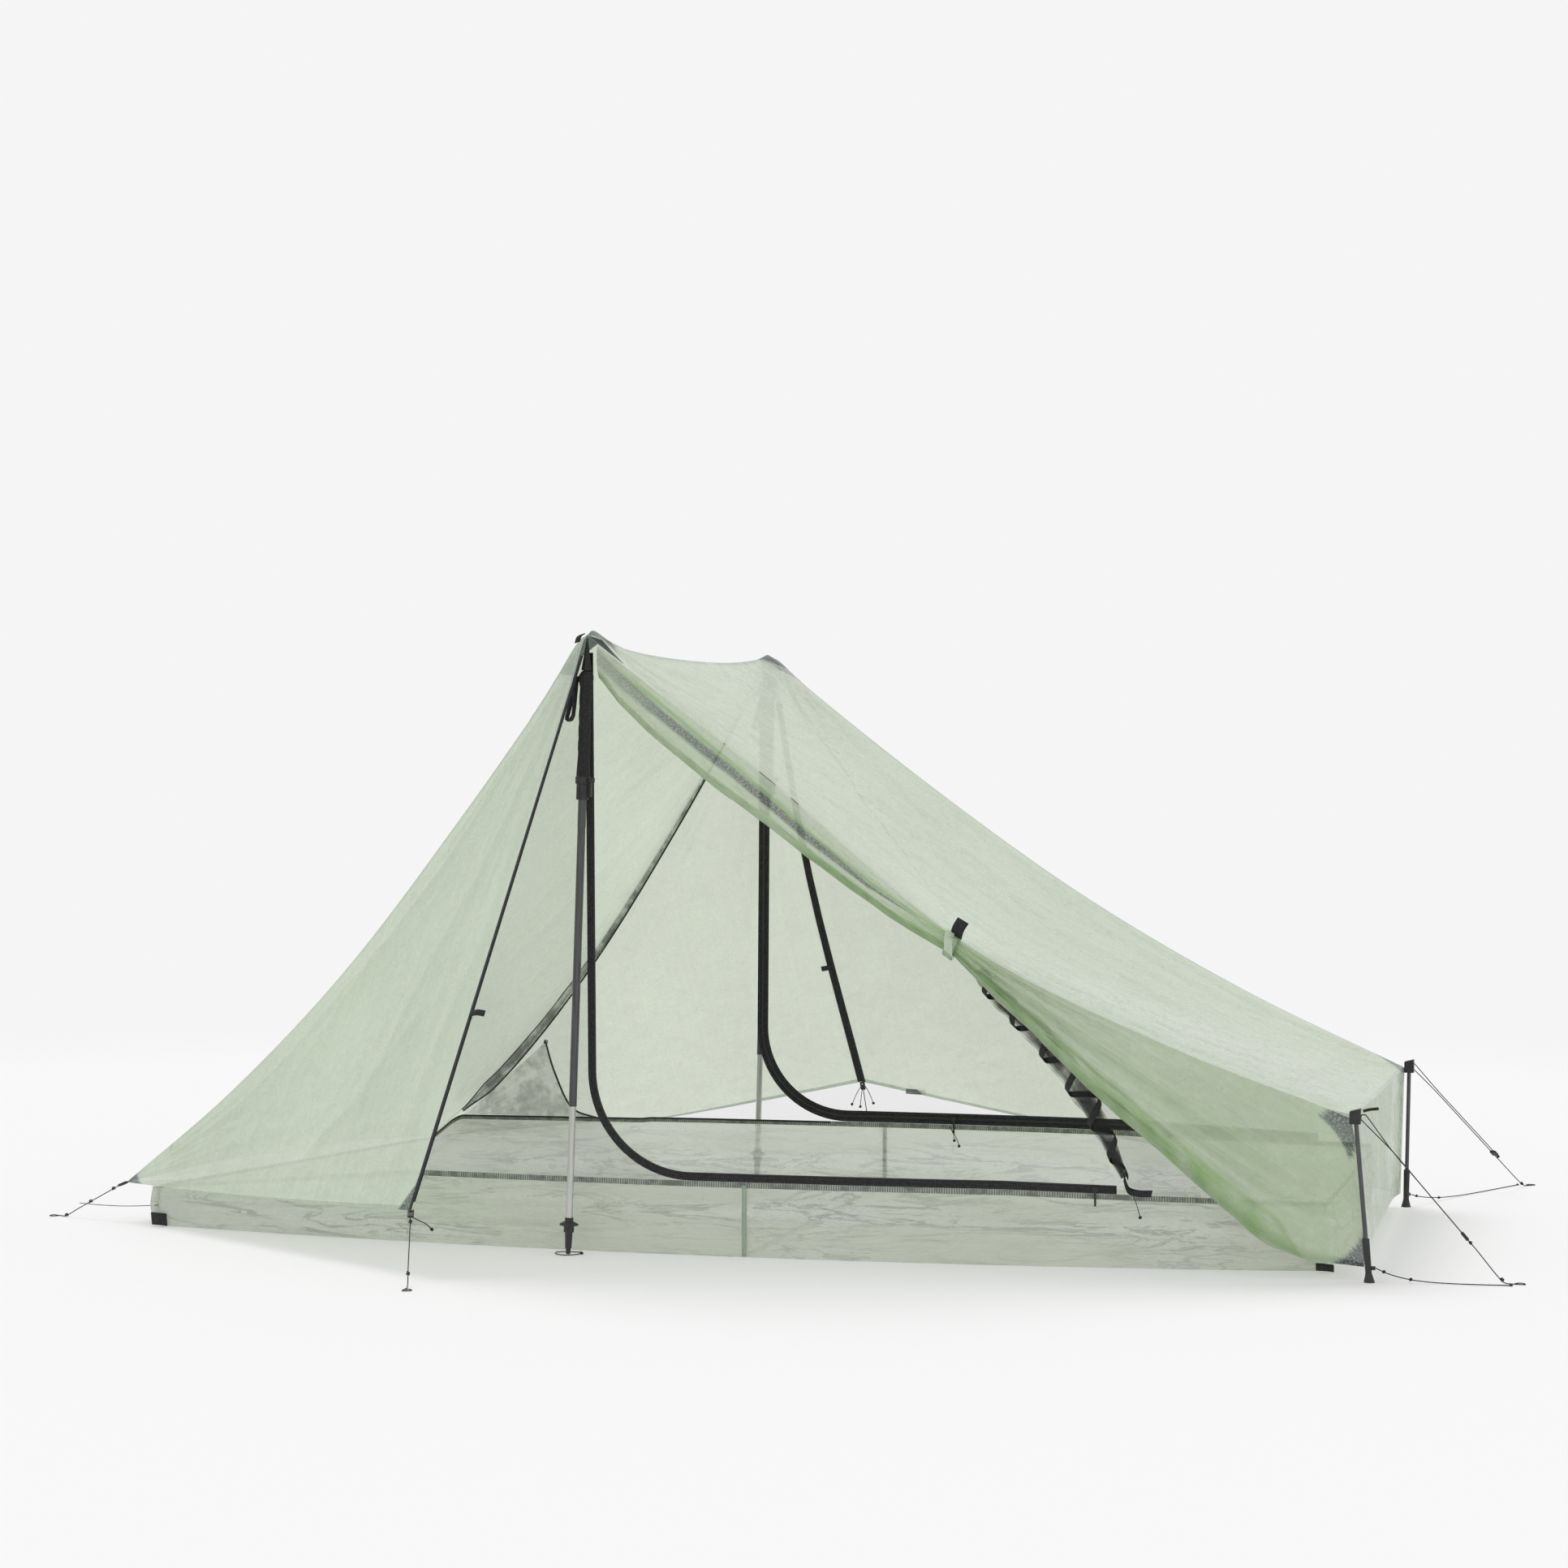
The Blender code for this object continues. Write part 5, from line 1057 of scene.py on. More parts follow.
patches_of_door = any_of(
    corner_patch(NEAR_FOOT, (Vector((1, 0, 0)), 0.060), (UP, 0.085)),
    corner_patch(NEAR_WALL_FOOT, (Vector((1, 0, 0)), 0.060), (UP, 0.062)),
)
door_columns = [mix(DOOR_START, TIE_AT, t) for t in even(110)] + [mix(TIE_AT, 1.0, t) for t in even(130)][1:]
near_door_grid = [[door_point(s, j) for s in door_columns] for j in range(HANG_STEPS + ROLL_STEPS + 1)]
near_door = cloth("near_door_cloth", near_door_grid, Vector((0.83, 0, -0.55)), [door_cloth])
layers, band, worn = (near_door.data.attributes.new(word, "FLOAT", "POINT") for word in ("layers", "band", "worn"))
for k, vert in enumerate(near_door.data.vertices):
    s, f = door_columns[k % len(door_columns)], k // len(door_columns) / HANG_STEPS
    layers.data[k].value = door_layers_and_shade(s, f)
    band.data[k].value = door_grey(s, f, vert.co)
    # Painted glints: whitish spots of sheen, strongest on the rolled edge and the curtain's edge strip.
    glints = noise.noise(Vector((s * 60.0, f * 14.0, 1.0)))
    worn.data[k].value = max(0.0, glints) * (0.9 if f > (0.84 if s < TIE_AT else hem_share(s)) else 0.35)
stands_for("near_door_panel")
declared(near_door, near_door_grid)

# Small sewn trims of black webbing and of the canopy's cloth: at the tie, at the near peak, and
# loops and tabs on the outer zips and the far door's hem.
webbing, tree = blank("black_webbing")
weave = tree.cells(tree.uv.times((2600.0, 1500.0, 1.0)), 1.0)
fluff = tree.noise(tree.body, 240.0, 3.0)
relief = tree.bump(weave + fluff, 0.5, 0.0004)
shade = fluff.within(0.35, 0.70).blended((0.010, 0.010, 0.011, 1.0), (0.030, 0.030, 0.031, 1.0))
tree.finish(tree.principled(shade, 0.78, relief))

hip_down = (near_hip(0.50) - near_hip(0.46)).normalized()
tab(
    "tie_tab", ((0.0, 0.010, -0.004), (0.008, -0.004, 0.012), (0.019, -0.012, 0.027)), (0.86, 0.0, -0.50), 0.024,
    webbing, 0.0016, near_hip(TIE_AT + 0.006) + Vector((0.0, -0.012, 0.006)),
)
wrap = []
for degrees in range(-40, 231, 18):
    a = math.radians(degrees)
    wrap.append((0.002 - 0.010 * math.sin(a), -0.006 - 0.019 * math.cos(a), -0.020 - 0.024 * math.sin(a)))
tab("tie_wrap", wrap, hip_down, 0.020, taped_cloth, 0.0010, near_hip(TIE_AT))
tab(
    "peak_tab", ((-0.004, -0.018, 0.004), (-0.009, -0.024, -0.001), (-0.012, -0.026, -0.012)), (1.0, 0.0, 0.3), 0.011,
    webbing, 0.0020, NEAR_APEX,
)
zip_line_at = [near_zip(mix(0.035, 0.985, t)) + Vector((0.001, -0.0022, 0.0)) for t in even(60)]
ribbon("near_zip_tape_edge", zip_line_at, [hem_way] * 61, 0.0065, 0.0026, webbing)
tab(
    "zip_loop", ((0.0, -0.004, 0.006), (0.016, -0.009, 0.010), (0.032, -0.008, 0.008)), zip_way, 0.012, webbing,
    at=near_zip(0.672),
)
tab(
    "far_zip_loop", ((0.004, 0.004, 0.0), (-0.010, -0.008, -0.004), (-0.022, -0.010, -0.006)), far_way, 0.012,
    webbing, at=far_zip(0.72),
)
tab(
    "hem_tab", ((-0.024, -0.003, 0.006), (0.0, -0.004, 0.005), (0.024, -0.003, 0.004)), UP, 0.012, grey_fibre,
    at=far_door_hem(0.11),
)
tab(
    "end_toggle", ((0.0, 0.0, 0.0), (0.014, 0.0, 0.0035), (0.028, 0.0, 0.005)), (0.0, 1.0, 0.0), 0.008, webbing,
    0.0050, Vector((1.519, -0.50, 0.308)),
)

# The bathtub floor: a tougher, greyer laminate folded up at its edge into walls, with a grey
# stitched band along the top where the netting is sewn on.
FLOOR_FOOT = 1.447
FLOOR_HEAD_NEAR = -0.947
FLOOR_HEAD_FAR = -0.750
FLOOR_SIDE = 0.570
FLOOR_END = 0.455
FLOOR_FAR_HEAD_END = 0.500
TUB_WALL = 0.145
TUB_WALL_HEAD = 0.085
TUB_WALL_FOOT = 0.130
TOP_BAND = 0.011

floor_cloth = laminate(
    "floor_cloth", (0.800, 0.835, 0.755, 1.0), (0.930, 0.945, 0.870, 1.0), 0.80, 0.42, gloss=0.18, crease=1.0,
    woven=0.4, drawn=(0.45, 0.45, 3.2),
)
stitched_band, tree = blank("stitched_band")
split = tree.node("SeparateXYZ", {"Vector": tree.uv.times((1.0, 210.0, 1.0))})
stitch = tree.maths("FRACT", split.output(1)).within(0.46, 0.54)
mottle = tree.noise(tree.body, 55.0, 4.0)
shade = (stitch * mottle.within(0.35, 0.6)).blended((0.150, 0.170, 0.145, 1.0), (0.400, 0.430, 0.380, 1.0))
relief = tree.bump(stitch + mottle, 0.6, 0.0008)
tree.finish(tree.principled(shade, 0.55, relief))


def side_y(side, x):
    """Where the tub's long side runs at x: bowed outwards between its end corners."""
    head = FLOOR_HEAD_NEAR if side < 0 else FLOOR_HEAD_FAR
    head_end = FLOOR_END if side < 0 else FLOOR_FAR_HEAD_END
    f = (x - head) / (FLOOR_FOOT - head)
    end = mix(head_end, FLOOR_END, f)
    return side * (end + (FLOOR_SIDE - end) * 4 * f * (1 - f))


def tub_height(side, x):
    """Height of the tub wall's top edge at x, lower at both ends."""
    head = FLOOR_HEAD_NEAR if side < 0 else FLOOR_HEAD_FAR
    f = min(max((x - head) / (FLOOR_FOOT - head), 0.0), 1.0)
    low = TUB_WALL_HEAD if f < 0.5 else TUB_WALL_FOOT
    return mix(low, TUB_WALL, min(1.0, 4 * min(f, 1 - f)))


RISE_HEIGHT = 0.1425


def far_edge(x):
    """The far wall's top edge, which the netting's gusset holds up nearly as far as the head corner."""
    low = tub_height(1, x)
    return max(low, mix(low, RISE_HEIGHT, smooth_step((x + 0.735) / 0.09)))


def tub_outline(side_steps, end_steps):
    """(x, y, wall height) round the floor, starting and ending at the near head corner."""
    outline = []
    for t in even(side_steps)[:-1]:
        x = mix(FLOOR_HEAD_NEAR, FLOOR_FOOT, t)
        outline.append((x, side_y(-1, x), tub_height(-1, x)))
    for t in even(end_steps)[:-1]:
        y = mix(-FLOOR_END, FLOOR_END, t)
        outline.append((FLOOR_FOOT, y, TUB_WALL_FOOT))
    for t in even(side_steps)[:-1]:
        x = mix(FLOOR_FOOT, FLOOR_HEAD_FAR, t)
        outline.append((x, side_y(1, x), far_edge(x)))
    for t in even(end_steps):
        x = mix(FLOOR_HEAD_FAR, FLOOR_HEAD_NEAR, t)
        outline.append((x, mix(FLOOR_FAR_HEAD_END, -FLOOR_END, t), TUB_WALL_HEAD))
    return outline


outline = tub_outline(260, 90)
wall_rows = []
share = [0.0, TOP_BAND / TUB_WALL, *(mix(TOP_BAND / TUB_WALL, 1.0, t) for t in even(22)[1:])]
for f in share:
    row = []
    for x, y, height in outline:
        centre = Vector((x, y, 0.0))
        outward = Vector((0.0, math.copysign(1.0, y), 0.0))
        if x > FLOOR_FOOT - 0.001:
            outward = Vector((1.0, 0.0, 0.0))
        belly = 0.0045 * math.sin(math.pi * f)
        run = Vector((x * 2.3, y * 2.3, f * 2.4))
        wave = (0.5 - abs(noise.noise(run)) * 1.5) * 0.0045 + noise.noise(run * 2.7) * 0.0020
        wave += 0.0010 * noise.noise(Vector((x * 22.0, y * 22.0, f * 5.0)))
        along_wall = noise.noise(Vector((x * 0.9, y * 0.9, f * 9.0 + 3.0)))
        wave += (0.5 - abs(along_wall) * 1.8) * 0.0050
        shift = (belly + wave) * math.sin(math.pi * min(1.0, f * 1.05)) - 0.001
        row.append(centre + outward * shift + UP * max(height * (1 - f), 0.0008))
    wall_rows.append(row)


def tub_painted_glints(p):
    """Painted glints where the tub's stiff cloth is crinkled."""
    patchy = noise.noise(Vector((p.x * 2.1, p.y * 2.1, p.z * 16.0)))
    patchy += 0.5 * noise.noise(Vector((p.x * 1.3, p.y, p.z * 60.0)))
    return min(1.0, max(0.0, 0.26 + 1.3 * patchy))


panel(
    "tub_walls", "bathtub_floor", wall_rows, Vector((1.0, 0.0, 0.0)), [floor_cloth, stitched_band],
    bands=(0, 0, 1, 0), masks={"worn": tub_painted_glints},
)


def tub_side(side):
    head = FLOOR_HEAD_NEAR if side < 0 else FLOOR_HEAD_FAR
    return lambda t: Vector((mix(head, FLOOR_FOOT, t), side_y(side, mix(head, FLOOR_FOOT, t)), 0.0010))


near_side, far_side = tub_side(-1), tub_side(1)
head_end = seam(near_side(0), far_side(0), (0.0,))
foot_end = seam(near_side(1), far_side(1), (0.0,))
floor_rows = rows_of(surface(near_side, far_side, head_end, foot_end), even(200), even(90))
floor_folds = [
    lambda p: 0.0030 * max(0.0, noise.noise(Vector((p.x * 3.0, p.y * 6.0, 1.0)))),
    lambda p: 0.0012 * max(0.0, noise.noise(Vector((p.x * 11.0, p.y * 9.0, 4.0)))),
]
tub_floor = cloth(
    "tub_floor", floor_rows, Vector((1.0, 0.0, 0.0)), [floor_cloth], floor_folds, masks={"worn": tub_painted_glints}
)
for vert in tub_floor.data.vertices:
    vert.co.z = abs(vert.co.z - 0.001) + 0.001
stands_for("bathtub_floor")
declared(tub_floor, floor_rows)

SEAM_X = 0.345
for word, side in (("near", -1), ("far", 1)):
    edge = [(SEAM_X, side_y(side, SEAM_X) + side * 0.0062, z) for z in (0.140, 0.105, 0.070, 0.035, 0.003)]
    tab(f"{word}_tub_seam", edge, (1.0, 0.0, 0.0), 0.009, taped_cloth, 0.0004)
across_floor = [(SEAM_X, y, 0.0058) for y in (-0.55, -0.2, 0.2, 0.55)]
tab("floor_seam", across_floor, (1.0, 0.0, 0.0), 0.009, taped_cloth, 0.0004)
for word, spot, tall in (("foot", (1.444, -0.464, 0.010), 0.014), ("head", (-0.944, -0.466, 0.016), 0.026)):
    tab(
        f"{word}_corner_piece", ((-0.016, 0.0, 0.0), (0.0, -0.003, 0.0), (0.017, 0.002, -0.002)), (0.0, -0.2, 1.0),
        tall, webbing, 0.0030, Vector(spot),
    )
fold_at = ((-0.957, -0.447, 0.080), (-0.961, -0.450, 0.045), (-0.954, -0.455, 0.012))
tab("corner_fold", fold_at, (1.0, 0.3, 0.0), 0.018, floor_cloth, 0.0008)

# The netting: fine black mesh between the tub's edge and the canopy, upright down both sides and
# across the head end. The far door is zipped shut; the near one is rolled back to the foot end.
CLOTH = 0.0012
FLOOR_CLOTH = 0.0015
NET_BELOW_ROOF = CLOTH / 2 * math.sqrt(2) + 11 * GAP
NET_INSET = 0.025
INNER_ZIP_X = 0.034
INNER_ZIP_CORNER = 0.200
ZIPS = {-1: (0.016, 1.060), 1: (0.025, 1.330)}
NET_STARTS = {-1: -0.917, 1: -0.660}
NET_FOOT = FLOOR_FOOT - 0.012

netting, tree = blank("netting")
cell = tree.node("VectorMath", {0: tree.uv.times((900.0, 900.0, 0.0))}, operation="FRACTION")
split = tree.node("SeparateXYZ", {"Vector": cell})
threads = tree.maths("MAXIMUM", split.within(0.86, 0.90), split.output(1).within(0.86, 0.90))
cover = tree.noise(tree.body, 5.0, 2.0) * 0.04 + threads * 0.34 + 0.045
tree.finish(tree.principled((0.035, 0.036, 0.036, 1.0), 0.7), cover)

gathered, tree = blank("gathered_netting")
bunched = tree.noise(tree.body, 60.0, 4.0) * 0.4 + tree.noise(tree.body, 14.0, 3.0) * 0.6
tree.finish(tree.principled((0.022, 0.023, 0.022, 1.0), 0.7), bunched.within(0.36, 0.62) * 0.34 + 0.18)

coil, tree = blank("zip_coil")
turns = tree.node("TexWave", {"Vector": tree.uv, "Scale": 160.0}, bands_direction="Y")
relief = tree.bump(turns, 0.8, 0.0006)
tree.finish(tree.principled((0.018, 0.018, 0.019, 1.0), 0.38, relief))


def roof_height(x, y):
    """Height of the canopy above a point of the ground."""
    ridge_x = mix(NEAR_APEX.x, FAR_APEX.x, (y - NEAR_APEX.y) / (FAR_APEX.y - NEAR_APEX.y))
    at = head_cloth if x < ridge_x else foot_cloth
    u, v, h = 0.5, 0.5, 1e-4
    for _ in range(8):
        here = at(u, v)
        du = (at(u + h, v) - here) / h
        dv = (at(u, v + h) - here) / h
        wrong_x, wrong_y = x - here.x, y - here.y
        size = du.x * dv.y - du.y * dv.x
        u = min(max(u + (wrong_x * dv.y - wrong_y * dv.x) / size, 0.0), 0.999)
        v = min(max(v + (wrong_y * du.x - wrong_x * du.y) / size, 0.0), 0.999)
    return at(u, v).z


def net_top(side, x):
    """Where the upright netting meets the canopy at x."""
    apex = NEAR_APEX if side < 0 else FAR_APEX
    head = NEAR_HEAD if side < 0 else FAR_HEAD
    foot = NEAR_FOOT if side < 0 else FAR_FOOT
    end = head if x < apex.x else foot
    y = mix(apex.y, end.y, (x - apex.x) / (end.x - apex.x)) - side * NET_INSET
    return Vector((x, y, roof_height(x, y) - NET_BELOW_ROOF))


def net_bottom(side, x):
    """Where the upright netting stands on the tub's edge at x."""
    return Vector((x, side_y(side, x) - side * FLOOR_CLOTH / 2, tub_height(side, x) + GAP))


tops = {}


def on_net(side, x, z):
    """The point of the upright netting at x and height z."""
    key = (side, round(x, 4))
    if key not in tops:
        tops[key] = net_top(side, x)
    low, high = net_bottom(side, x), tops[key]
    f = (z - low.z) / (high.z - low.z)
    return Vector((x, mix(low.y, high.y, f), z))


def zip_line(side, shift, rise=14, turn=20, run=40):
    """The inner zip's line as (x, z) pairs, from the peak round its corner to its end."""
    width, end = ZIPS[side]
    apex = NEAR_APEX if side < 0 else FAR_APEX
    x0 = apex.x + INNER_ZIP_X - NEAR_APEX.x
    rest = tub_height(side, x0) + GAP + width / 2
    radius = INNER_ZIP_CORNER
    top = min(net_top(side, x0 - width / 2).z, net_top(side, x0 + width / 2).z) - 0.006
    line = [(x0 + shift, mix(top, rest + radius, k / rise)) for k in range(rise)]
    for k in range(turn + 1):
        a = math.pi + k / turn * math.pi / 2
        r = radius - shift
        line.append((x0 + radius + r * math.cos(a), rest + radius + r * math.sin(a)))
    for t in even(run)[1:]:
        x = mix(x0 + radius, end, t)
        line.append((x, tub_height(side, x) + GAP + width / 2 + shift))
    return line, rise + turn


def by_height(points):
    """A way down (x, z) pairs, read by its share of the whole drop, with the shares of its points."""
    top, low = points[0][1], points[-1][1]
    shares = [(top - z) / (top - low) for _, z in points]
    line = [(share, Vector((x, 0.0, z))) for share, (x, z) in zip(shares, points)]
    return lambda t: along(line, t), shares


def edge_line(side, x0, x1, at):
    return lambda t: Vector((mix(x0, x1, t), 0.0, at(side, mix(x0, x1, t)).z))


def net_billow(seed):
    return [
        lambda p: 0.004 * noise.noise(Vector((p.x * 2.2, p.z * 2.6, seed))),
        lambda p: 0.0012 * noise.noise(Vector((p.x * 14.0, p.z * 9.0, seed))),
    ]


def net_sheet(name, side, rows, node):
    """Netting through rows of (x, 0, z), moved out to where it stands, with its top at the roof."""
    points = [[on_net(side, p.x, p.z) for p in row] for row in rows]
    points[0] = [tops[(side, round(p.x, 4))] for p in rows[0]]
    panel(name, node, points, UP, [netting], net_billow(side * 3.0))


for word, side in (("near", -1), ("far", 1)):
    width, end = ZIPS[side]
    line, corner = zip_line(side, -width / 2)
    line = line[: corner + 1]
    head = NET_STARTS[side]
    top_x, low_x = line[0][0], line[-1][0]
    line = [(top_x, net_top(side, top_x).z), *line[1:-1], (low_x, net_bottom(side, low_x).z)]
    zip_edge, shares = by_height(line)
    head_edge, _ = by_height([(head, net_top(side, head).z), (head, net_bottom(side, head).z)])
    wall = surface(
        edge_line(side, head, top_x, net_top), edge_line(side, head, low_x, net_bottom), head_edge, zip_edge
    )
    net_sheet(f"{word}_netting", side, rows_of(wall, even(60), shares), f"{word}_mesh_wall")

line, corner = zip_line(1, ZIPS[1][0] / 2)
line = line[: corner + 1]
top_x, low_x = line[0][0], line[-1][0]
line = [(top_x, net_top(1, top_x).z), *line[1:]]
zip_edge, shares = by_height(line)


def far_door_bottom(t):
    x = mix(low_x, NET_FOOT, t)
    return Vector((x, 0.0, net_bottom(1, x).z + ZIPS[1][0]))


foot_edge, _ = by_height([(NET_FOOT, net_top(1, NET_FOOT).z), (NET_FOOT, far_door_bottom(1.0).z)])
door = surface(edge_line(1, top_x, NET_FOOT, net_top), far_door_bottom, zip_edge, foot_edge)
net_sheet("far_netting_door", 1, rows_of(door, even(80), shares), "far_mesh_door")

strip_rows = [[], []]
for f in even(40):
    f = mix(0.02, 0.98, f)
    x = mix(FLOOR_HEAD_NEAR, FLOOR_HEAD_FAR, f) + 0.0008
    y = mix(-FLOOR_END, FLOOR_FAR_HEAD_END, f)
    strip_rows[1].append(Vector((x, y, TUB_WALL_HEAD)))
    strip_rows[0].append(Vector((x + 0.010, y, roof_height(x + 0.010, y) - NET_BELOW_ROOF)))
strip_rows = [[mix(a, b, t) for a, b in zip(*strip_rows)] for t in even(4)]
panel("head_netting", "head_mesh_strip", strip_rows, UP, [netting])

# The near netting door, rolled from its zip edge and tied back: stretched mesh behind the
# curtain, then the roll, with the zip's black tape wound round it.
MESH_ROLL = [(0.800, 0.560), (0.838, 0.515), (0.905, 0.452), (0.962, 0.385)]
MESH_ROLL += [(1.010, 0.312), (1.046, 0.240), (1.074, 0.172)]
side = -1
top_x, low_x = MESH_ROLL[0][0] - 0.028, MESH_ROLL[-1][0] + 0.010
line = [(top_x, net_top(side, top_x).z), *MESH_ROLL[1:-1], (low_x, net_bottom(side, low_x).z)]
rolled_edge, _ = by_height(line)
foot_edge, _ = by_height([(NET_FOOT, net_top(side, NET_FOOT).z), (NET_FOOT, net_bottom(side, NET_FOOT).z)])
rest = surface(
    edge_line(side, top_x, NET_FOOT, net_top), edge_line(side, low_x, NET_FOOT, net_bottom), rolled_edge, foot_edge
)
net_sheet("near_netting_door", side, rows_of(rest, even(50), even(40)), "near_mesh_door")

roll_route = [on_net(side, x, z) for x, z in MESH_ROLL]


def roll_radius(t):
    return 0.0235 * (0.26 + 0.74 * math.sin(math.pi * (0.10 + 0.88 * t)))


def roll_frame(t):
    """Where the roll is at t down its length, and the way it runs there."""
    ahead = smooth_through(roll_route, min(t + 0.02, 1.0)) - smooth_through(roll_route, max(t - 0.02, 0.0))
    return facing(smooth_through(roll_route, t), ahead), ahead


roll_rows = []
for t in even(90):
    frame_at, _ = roll_frame(t)
    radius = roll_radius(t) * (1 + 0.08 * math.sin(t * 43.0))
    row = []
    for k in even(60):
        a = math.tau * 2.4 * k
        r = radius * (1 - 0.5 * k) * (1 + 0.12 * noise.noise(Vector((a, t * 18.0, 2.0))))
        row.append(frame_at @ Vector((r * math.cos(a), r * 0.8 * math.sin(a), 0.0)))
    roll_rows.append(row)
panel("netting_roll", "near_mesh_door", roll_rows, Vector((0.4, 0, -1)), [gathered], held="folded")

wound, aside = [], []
TAPE_TURNS = 6.5
for t in even(260):
    frame_at, ahead = roll_frame(t)
    radius = roll_radius(t) + 0.0012
    a = math.tau * TAPE_TURNS * t + 0.8
    wound.append(frame_at @ Vector((radius * math.cos(a), radius * 0.85 * math.sin(a), 0.0)))
    aside.append(ahead.normalized())
ribbon("wound_zip_tape", wound, aside, 0.014, 0.0008, webbing)
roll_end = roll_route[-1]
tail = [roll_end, roll_end + Vector((0.004, 0.002, -0.016))]
tail += [(1.084, -0.512, 0.146), (1.104, -0.516, 0.1425), (1.127, -0.518, 0.1435)]
tab("zip_tape_tail", tail, (0.2, 0.0, 1.0), 0.013, webbing)


def zip_pull(word, number, route, end, node):
    """A thin cord with a knot at its end that hangs from a zip's slider."""
    bits = [knot(f"{word}_zip_pull_knot{number}", end, UP, 0.005)]
    guyline(f"{word}_zip_pull{number}", route, node, 16, 0.0016, replaces=False)


pull = ((1.093, -0.524, 0.140), (1.099, -0.527, 0.124), (1.103, -0.527, 0.111), (1.106, -0.526, 0.099))
pull = [Vector(p) for p in pull]
zip_pull("near", "", pull, pull[-1], "near_inner_zip")
for number, low in (("_0", Vector((0.511, 0.553, 0.111))), ("_1", Vector((0.522, 0.552, 0.099)))):
    pull = [mix(Vector((0.500, 0.553, 0.142)), low, f) + Vector((0.003 * math.sin(3 * f), 0, 0)) for f in even(4)]
    zip_pull("far", number, pull, low, "far_inner_slider")

# The far head hip: netting gathered on a black cord along it, a short thick cord that hangs by it
# with a gusset of netting up to the tub's corner, and the black piping of the tub's far edge.
binding, wide_at = [], []
for t in even(80):
    p = net_top(1, mix(FAR_APEX.x - 0.03, NET_STARTS[1] - 0.012, t)) + Vector((0.0, -0.006, -0.006 - 0.006 * t))
    binding.append(p)
    wide_at.append((0.007 + 0.020 * t) * (1 - 0.8 * smooth_step((t - 0.90) / 0.10)))
hip_across = Vector((0.7, 0.0, -0.7))
across = [hip_across] * 81
ribbon("far_hip_binding", binding, across, wide_at, 0.0006, gathered)
for k, share in enumerate((0.48, -0.48)):
    line = [p + hip_across * w * share + Vector((0, -0.002, 0)) for p, w in zip(binding, wide_at)]
    ribbon(f"far_hip_piping_{k}", line, across, 0.0032 - 0.0012 * k, 0.0020, webbing)
cord = [Vector((x, 0.56, z)) for x, z in ((-0.463, 0.311), (-0.440, 0.240), (-0.399, 0.161), (-0.336, 0.137))]
bits = [knot("far_hip_knot", cord[0], UP, 0.009)]
guyline("far_hip_cord", cord, samples=30, diameter=0.0045, replaces=False)
gusset_rows = []
for t in even(30)[1:]:
    held = mix(cord[0], Vector((-0.655, 0.552, 0.140)), t)
    free = smooth_through(cord, t)
    gusset_rows.append([mix(free, held, w) + Vector((0.0, 0.004 * math.sin(math.pi * w), 0.0)) for w in even(16)])
panel("far_hip_gusset", "far_mesh_wall", gusset_rows, Vector((0.5, 0.0, -0.85)), [gathered], held="hung")
top_line = []
for t in even(40):
    x = mix(-0.72, 0.22, t)
    top_line.append(net_bottom(1, x) + Vector((0, -0.004, far_edge(x) - tub_height(1, x) - 0.002)))
ribbon("far_tub_piping", top_line, [UP] * 41, 0.0035, 0.0020, webbing)

# The inner zips: woven tape sewn to the netting with a coil down its middle, and on the near
# side, where the door is open, one tape with half of the coil at its edge.
for word, side, node in (("near", -1, "near_inner_zip"), ("far", 1, "far_inner_zip")):
    half = ZIPS[side][0] / 2
    edges = [[on_net(side, *p) for p in zip_line(side, shift)[0]] for shift in (-half, half)]
    ways = [q - p for p, q in zip(*edges)]
    middle = [mix(p, q, 0.5) for p, q in zip(*edges)]
    tape = ribbon(f"{word}_zip_tape", middle, ways, [way.length for way in ways], 0.0008, webbing)
    stands_for(node)
    coil_share, coil_width, folds = (0.5, 0.0045, (0.16, 0.84)) if side > 0 else (0.93, 0.0025, (0.22,))
    coil_line = [mix(p, q, coil_share) + Vector((0, side * -0.0006, 0)) for p, q in zip(*edges)]
    ribbon(f"{word}_zip_coil", coil_line, ways, coil_width, 0.0030, coil)
    for k, share in enumerate(folds):
        fold_line = [mix(p, q, share) for p, q in zip(*edges)]
        ribbon(f"{word}_zip_fold_{k}", fold_line, ways, 0.0045, 0.0018, webbing)

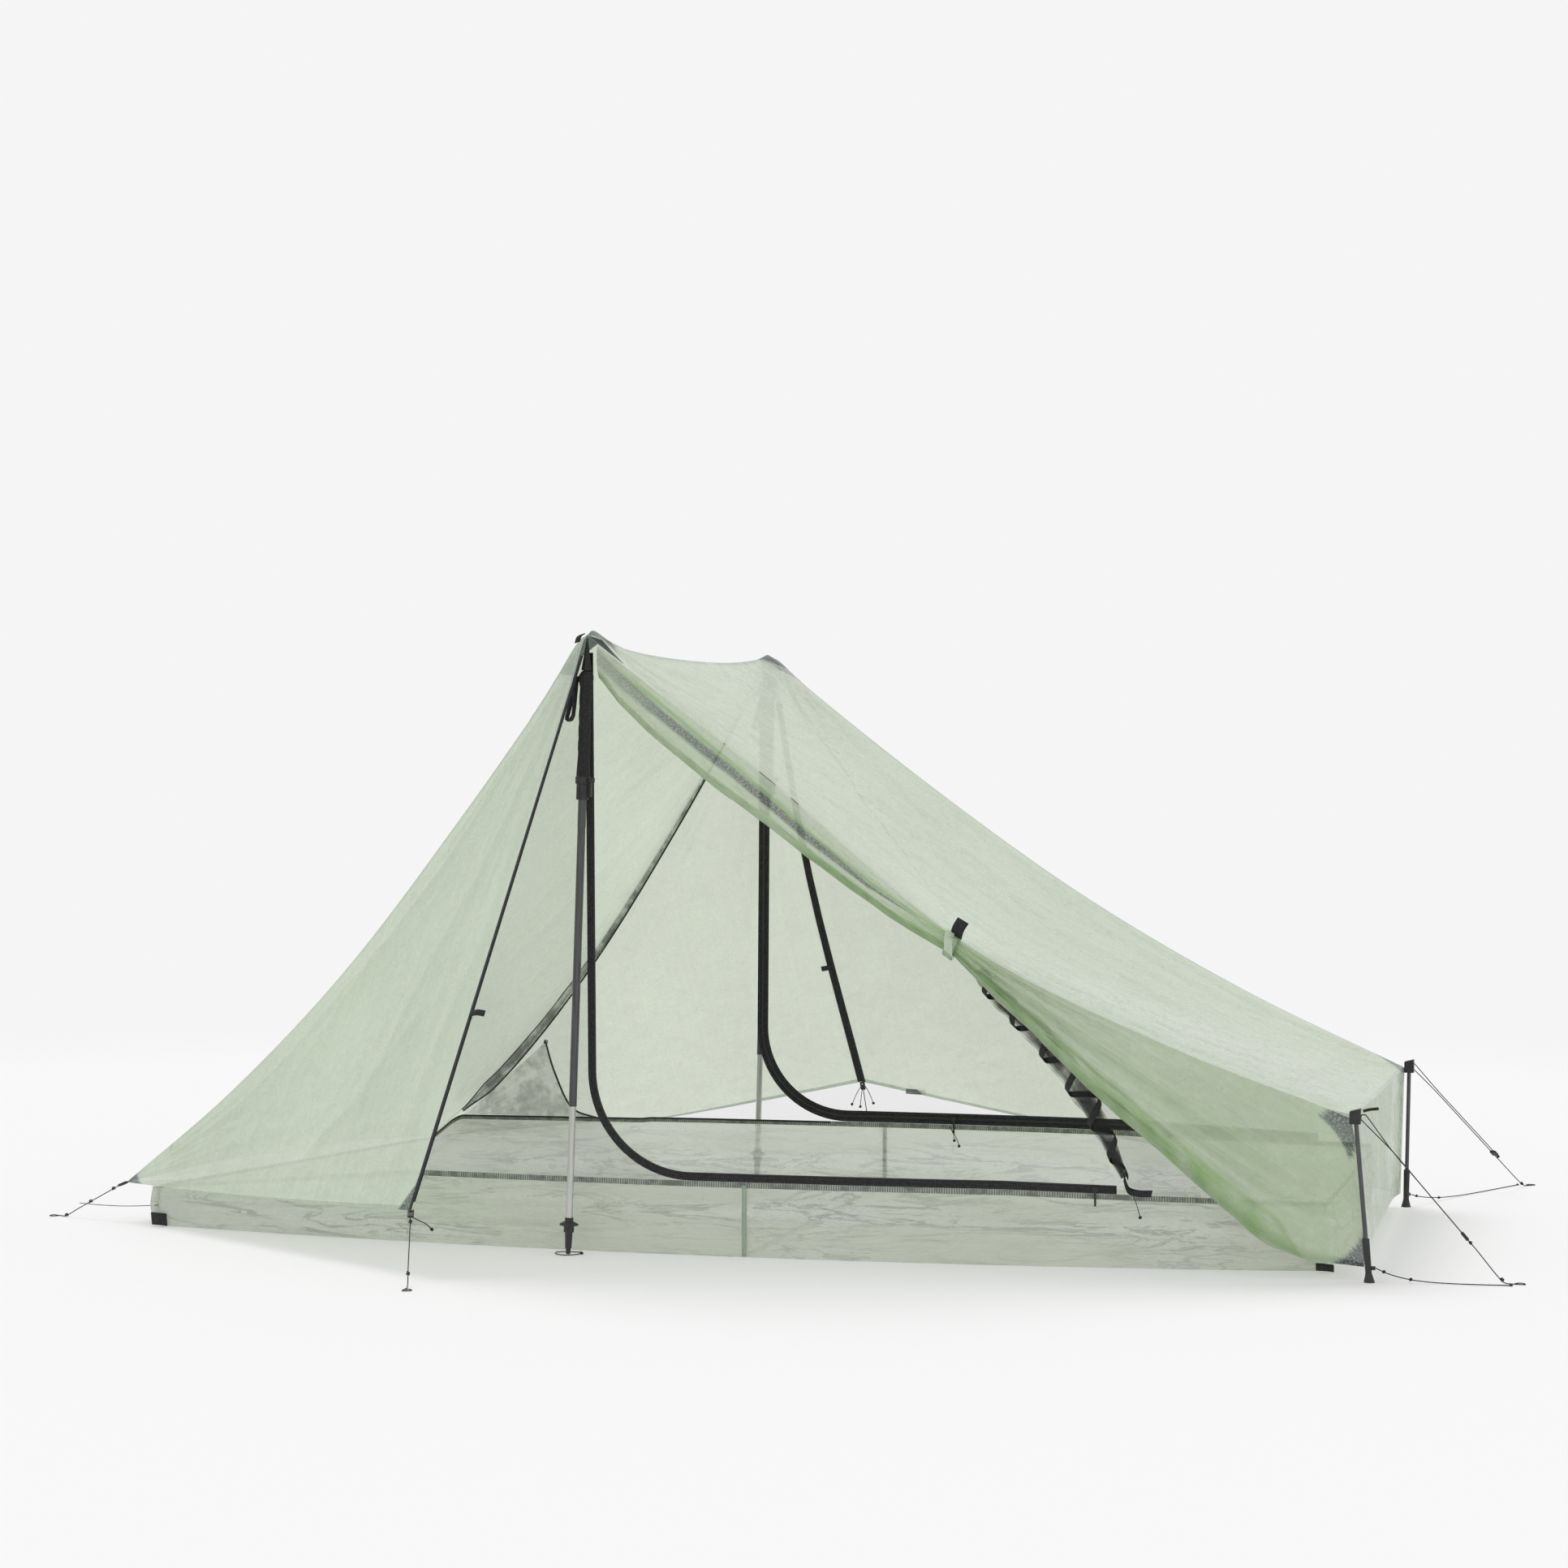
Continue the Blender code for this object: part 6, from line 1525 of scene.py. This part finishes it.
# The trekking poles and struts: foam grips, carbon tubes, a silver lower tube, and moulded
# plastic locks, tips, caps and sleeves. Their CAD shapes are right, so they get their materials.
foam, tree = blank("grip_foam")
pores = tree.noise(tree.body, 300.0, 4.0)
relief = tree.bump(tree.cells(tree.body, 900.0) + pores, 0.6, 0.0005)
shade = pores.within(0.35, 0.75).blended((0.012, 0.012, 0.012, 1.0), (0.034, 0.034, 0.034, 1.0))
tree.finish(tree.principled(shade, 0.92, relief))

carbon, tree = blank("carbon_tube")
fibres = tree.noise(tree.body.times((900.0, 900.0, 14.0)), 1.0, 3.0)
shade = fibres.within(0.35, 0.70).blended((0.030, 0.030, 0.031, 1.0), (0.075, 0.075, 0.078, 1.0))
tree.finish(tree.principled(shade, fibres * 0.15 + 0.24, coat_weight=0.5, coat_roughness=0.15))

silver, tree = blank("silver_tube")
brushed = tree.noise(tree.body.times((700.0, 700.0, 9.0)), 1.0, 3.0)
shade = brushed.within(0.3, 0.7).blended((0.50, 0.50, 0.48, 1.0), (0.64, 0.64, 0.62, 1.0))
tree.finish(tree.principled(shade, brushed * 0.2 + 0.28, metallic=0.85))

plastic, tree = blank("moulded_plastic")
scuffs = tree.noise(tree.body, 60.0, 4.0)
relief = tree.bump(tree.noise(tree.body, 700.0, 2.0), 0.25, 0.0003)
shade = scuffs.within(0.35, 0.75).blended((0.013, 0.013, 0.014, 1.0), (0.030, 0.030, 0.031, 1.0))
tree.finish(tree.principled(shade, scuffs * 0.25 + 0.35, relief))

BOTH_SIDES = {
    "pole_grip": foam, "pole_strap": webbing, "pole_handle_tube": carbon, "pole_middle_tube": carbon,
    "pole_lower_tube": silver, "pole_clamp": plastic, "pole_lever": plastic, "pole_tip": plastic, "strut": carbon,
    "strut_cap": plastic, "strut_sleeve": plastic, "foot_adjuster": plastic, "inner_slider": plastic,
    "peak_cup": webbing, "outer_zip": webbing, "peak_patch": grey_fibre,
}
finishes = {f"{word}_{part}": finish for word in ("near", "far") for part, finish in BOTH_SIDES.items()}
for node in ("near_head_buckle", "near_vestibule_buckle", "far_vestibule_buckle", "far_outer_slider"):
    finishes[node] = plastic
finishes["door_tie_strap"] = canopy_cloth
for node, finish in finishes.items():
    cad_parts[node].material_slots[0].material = finish
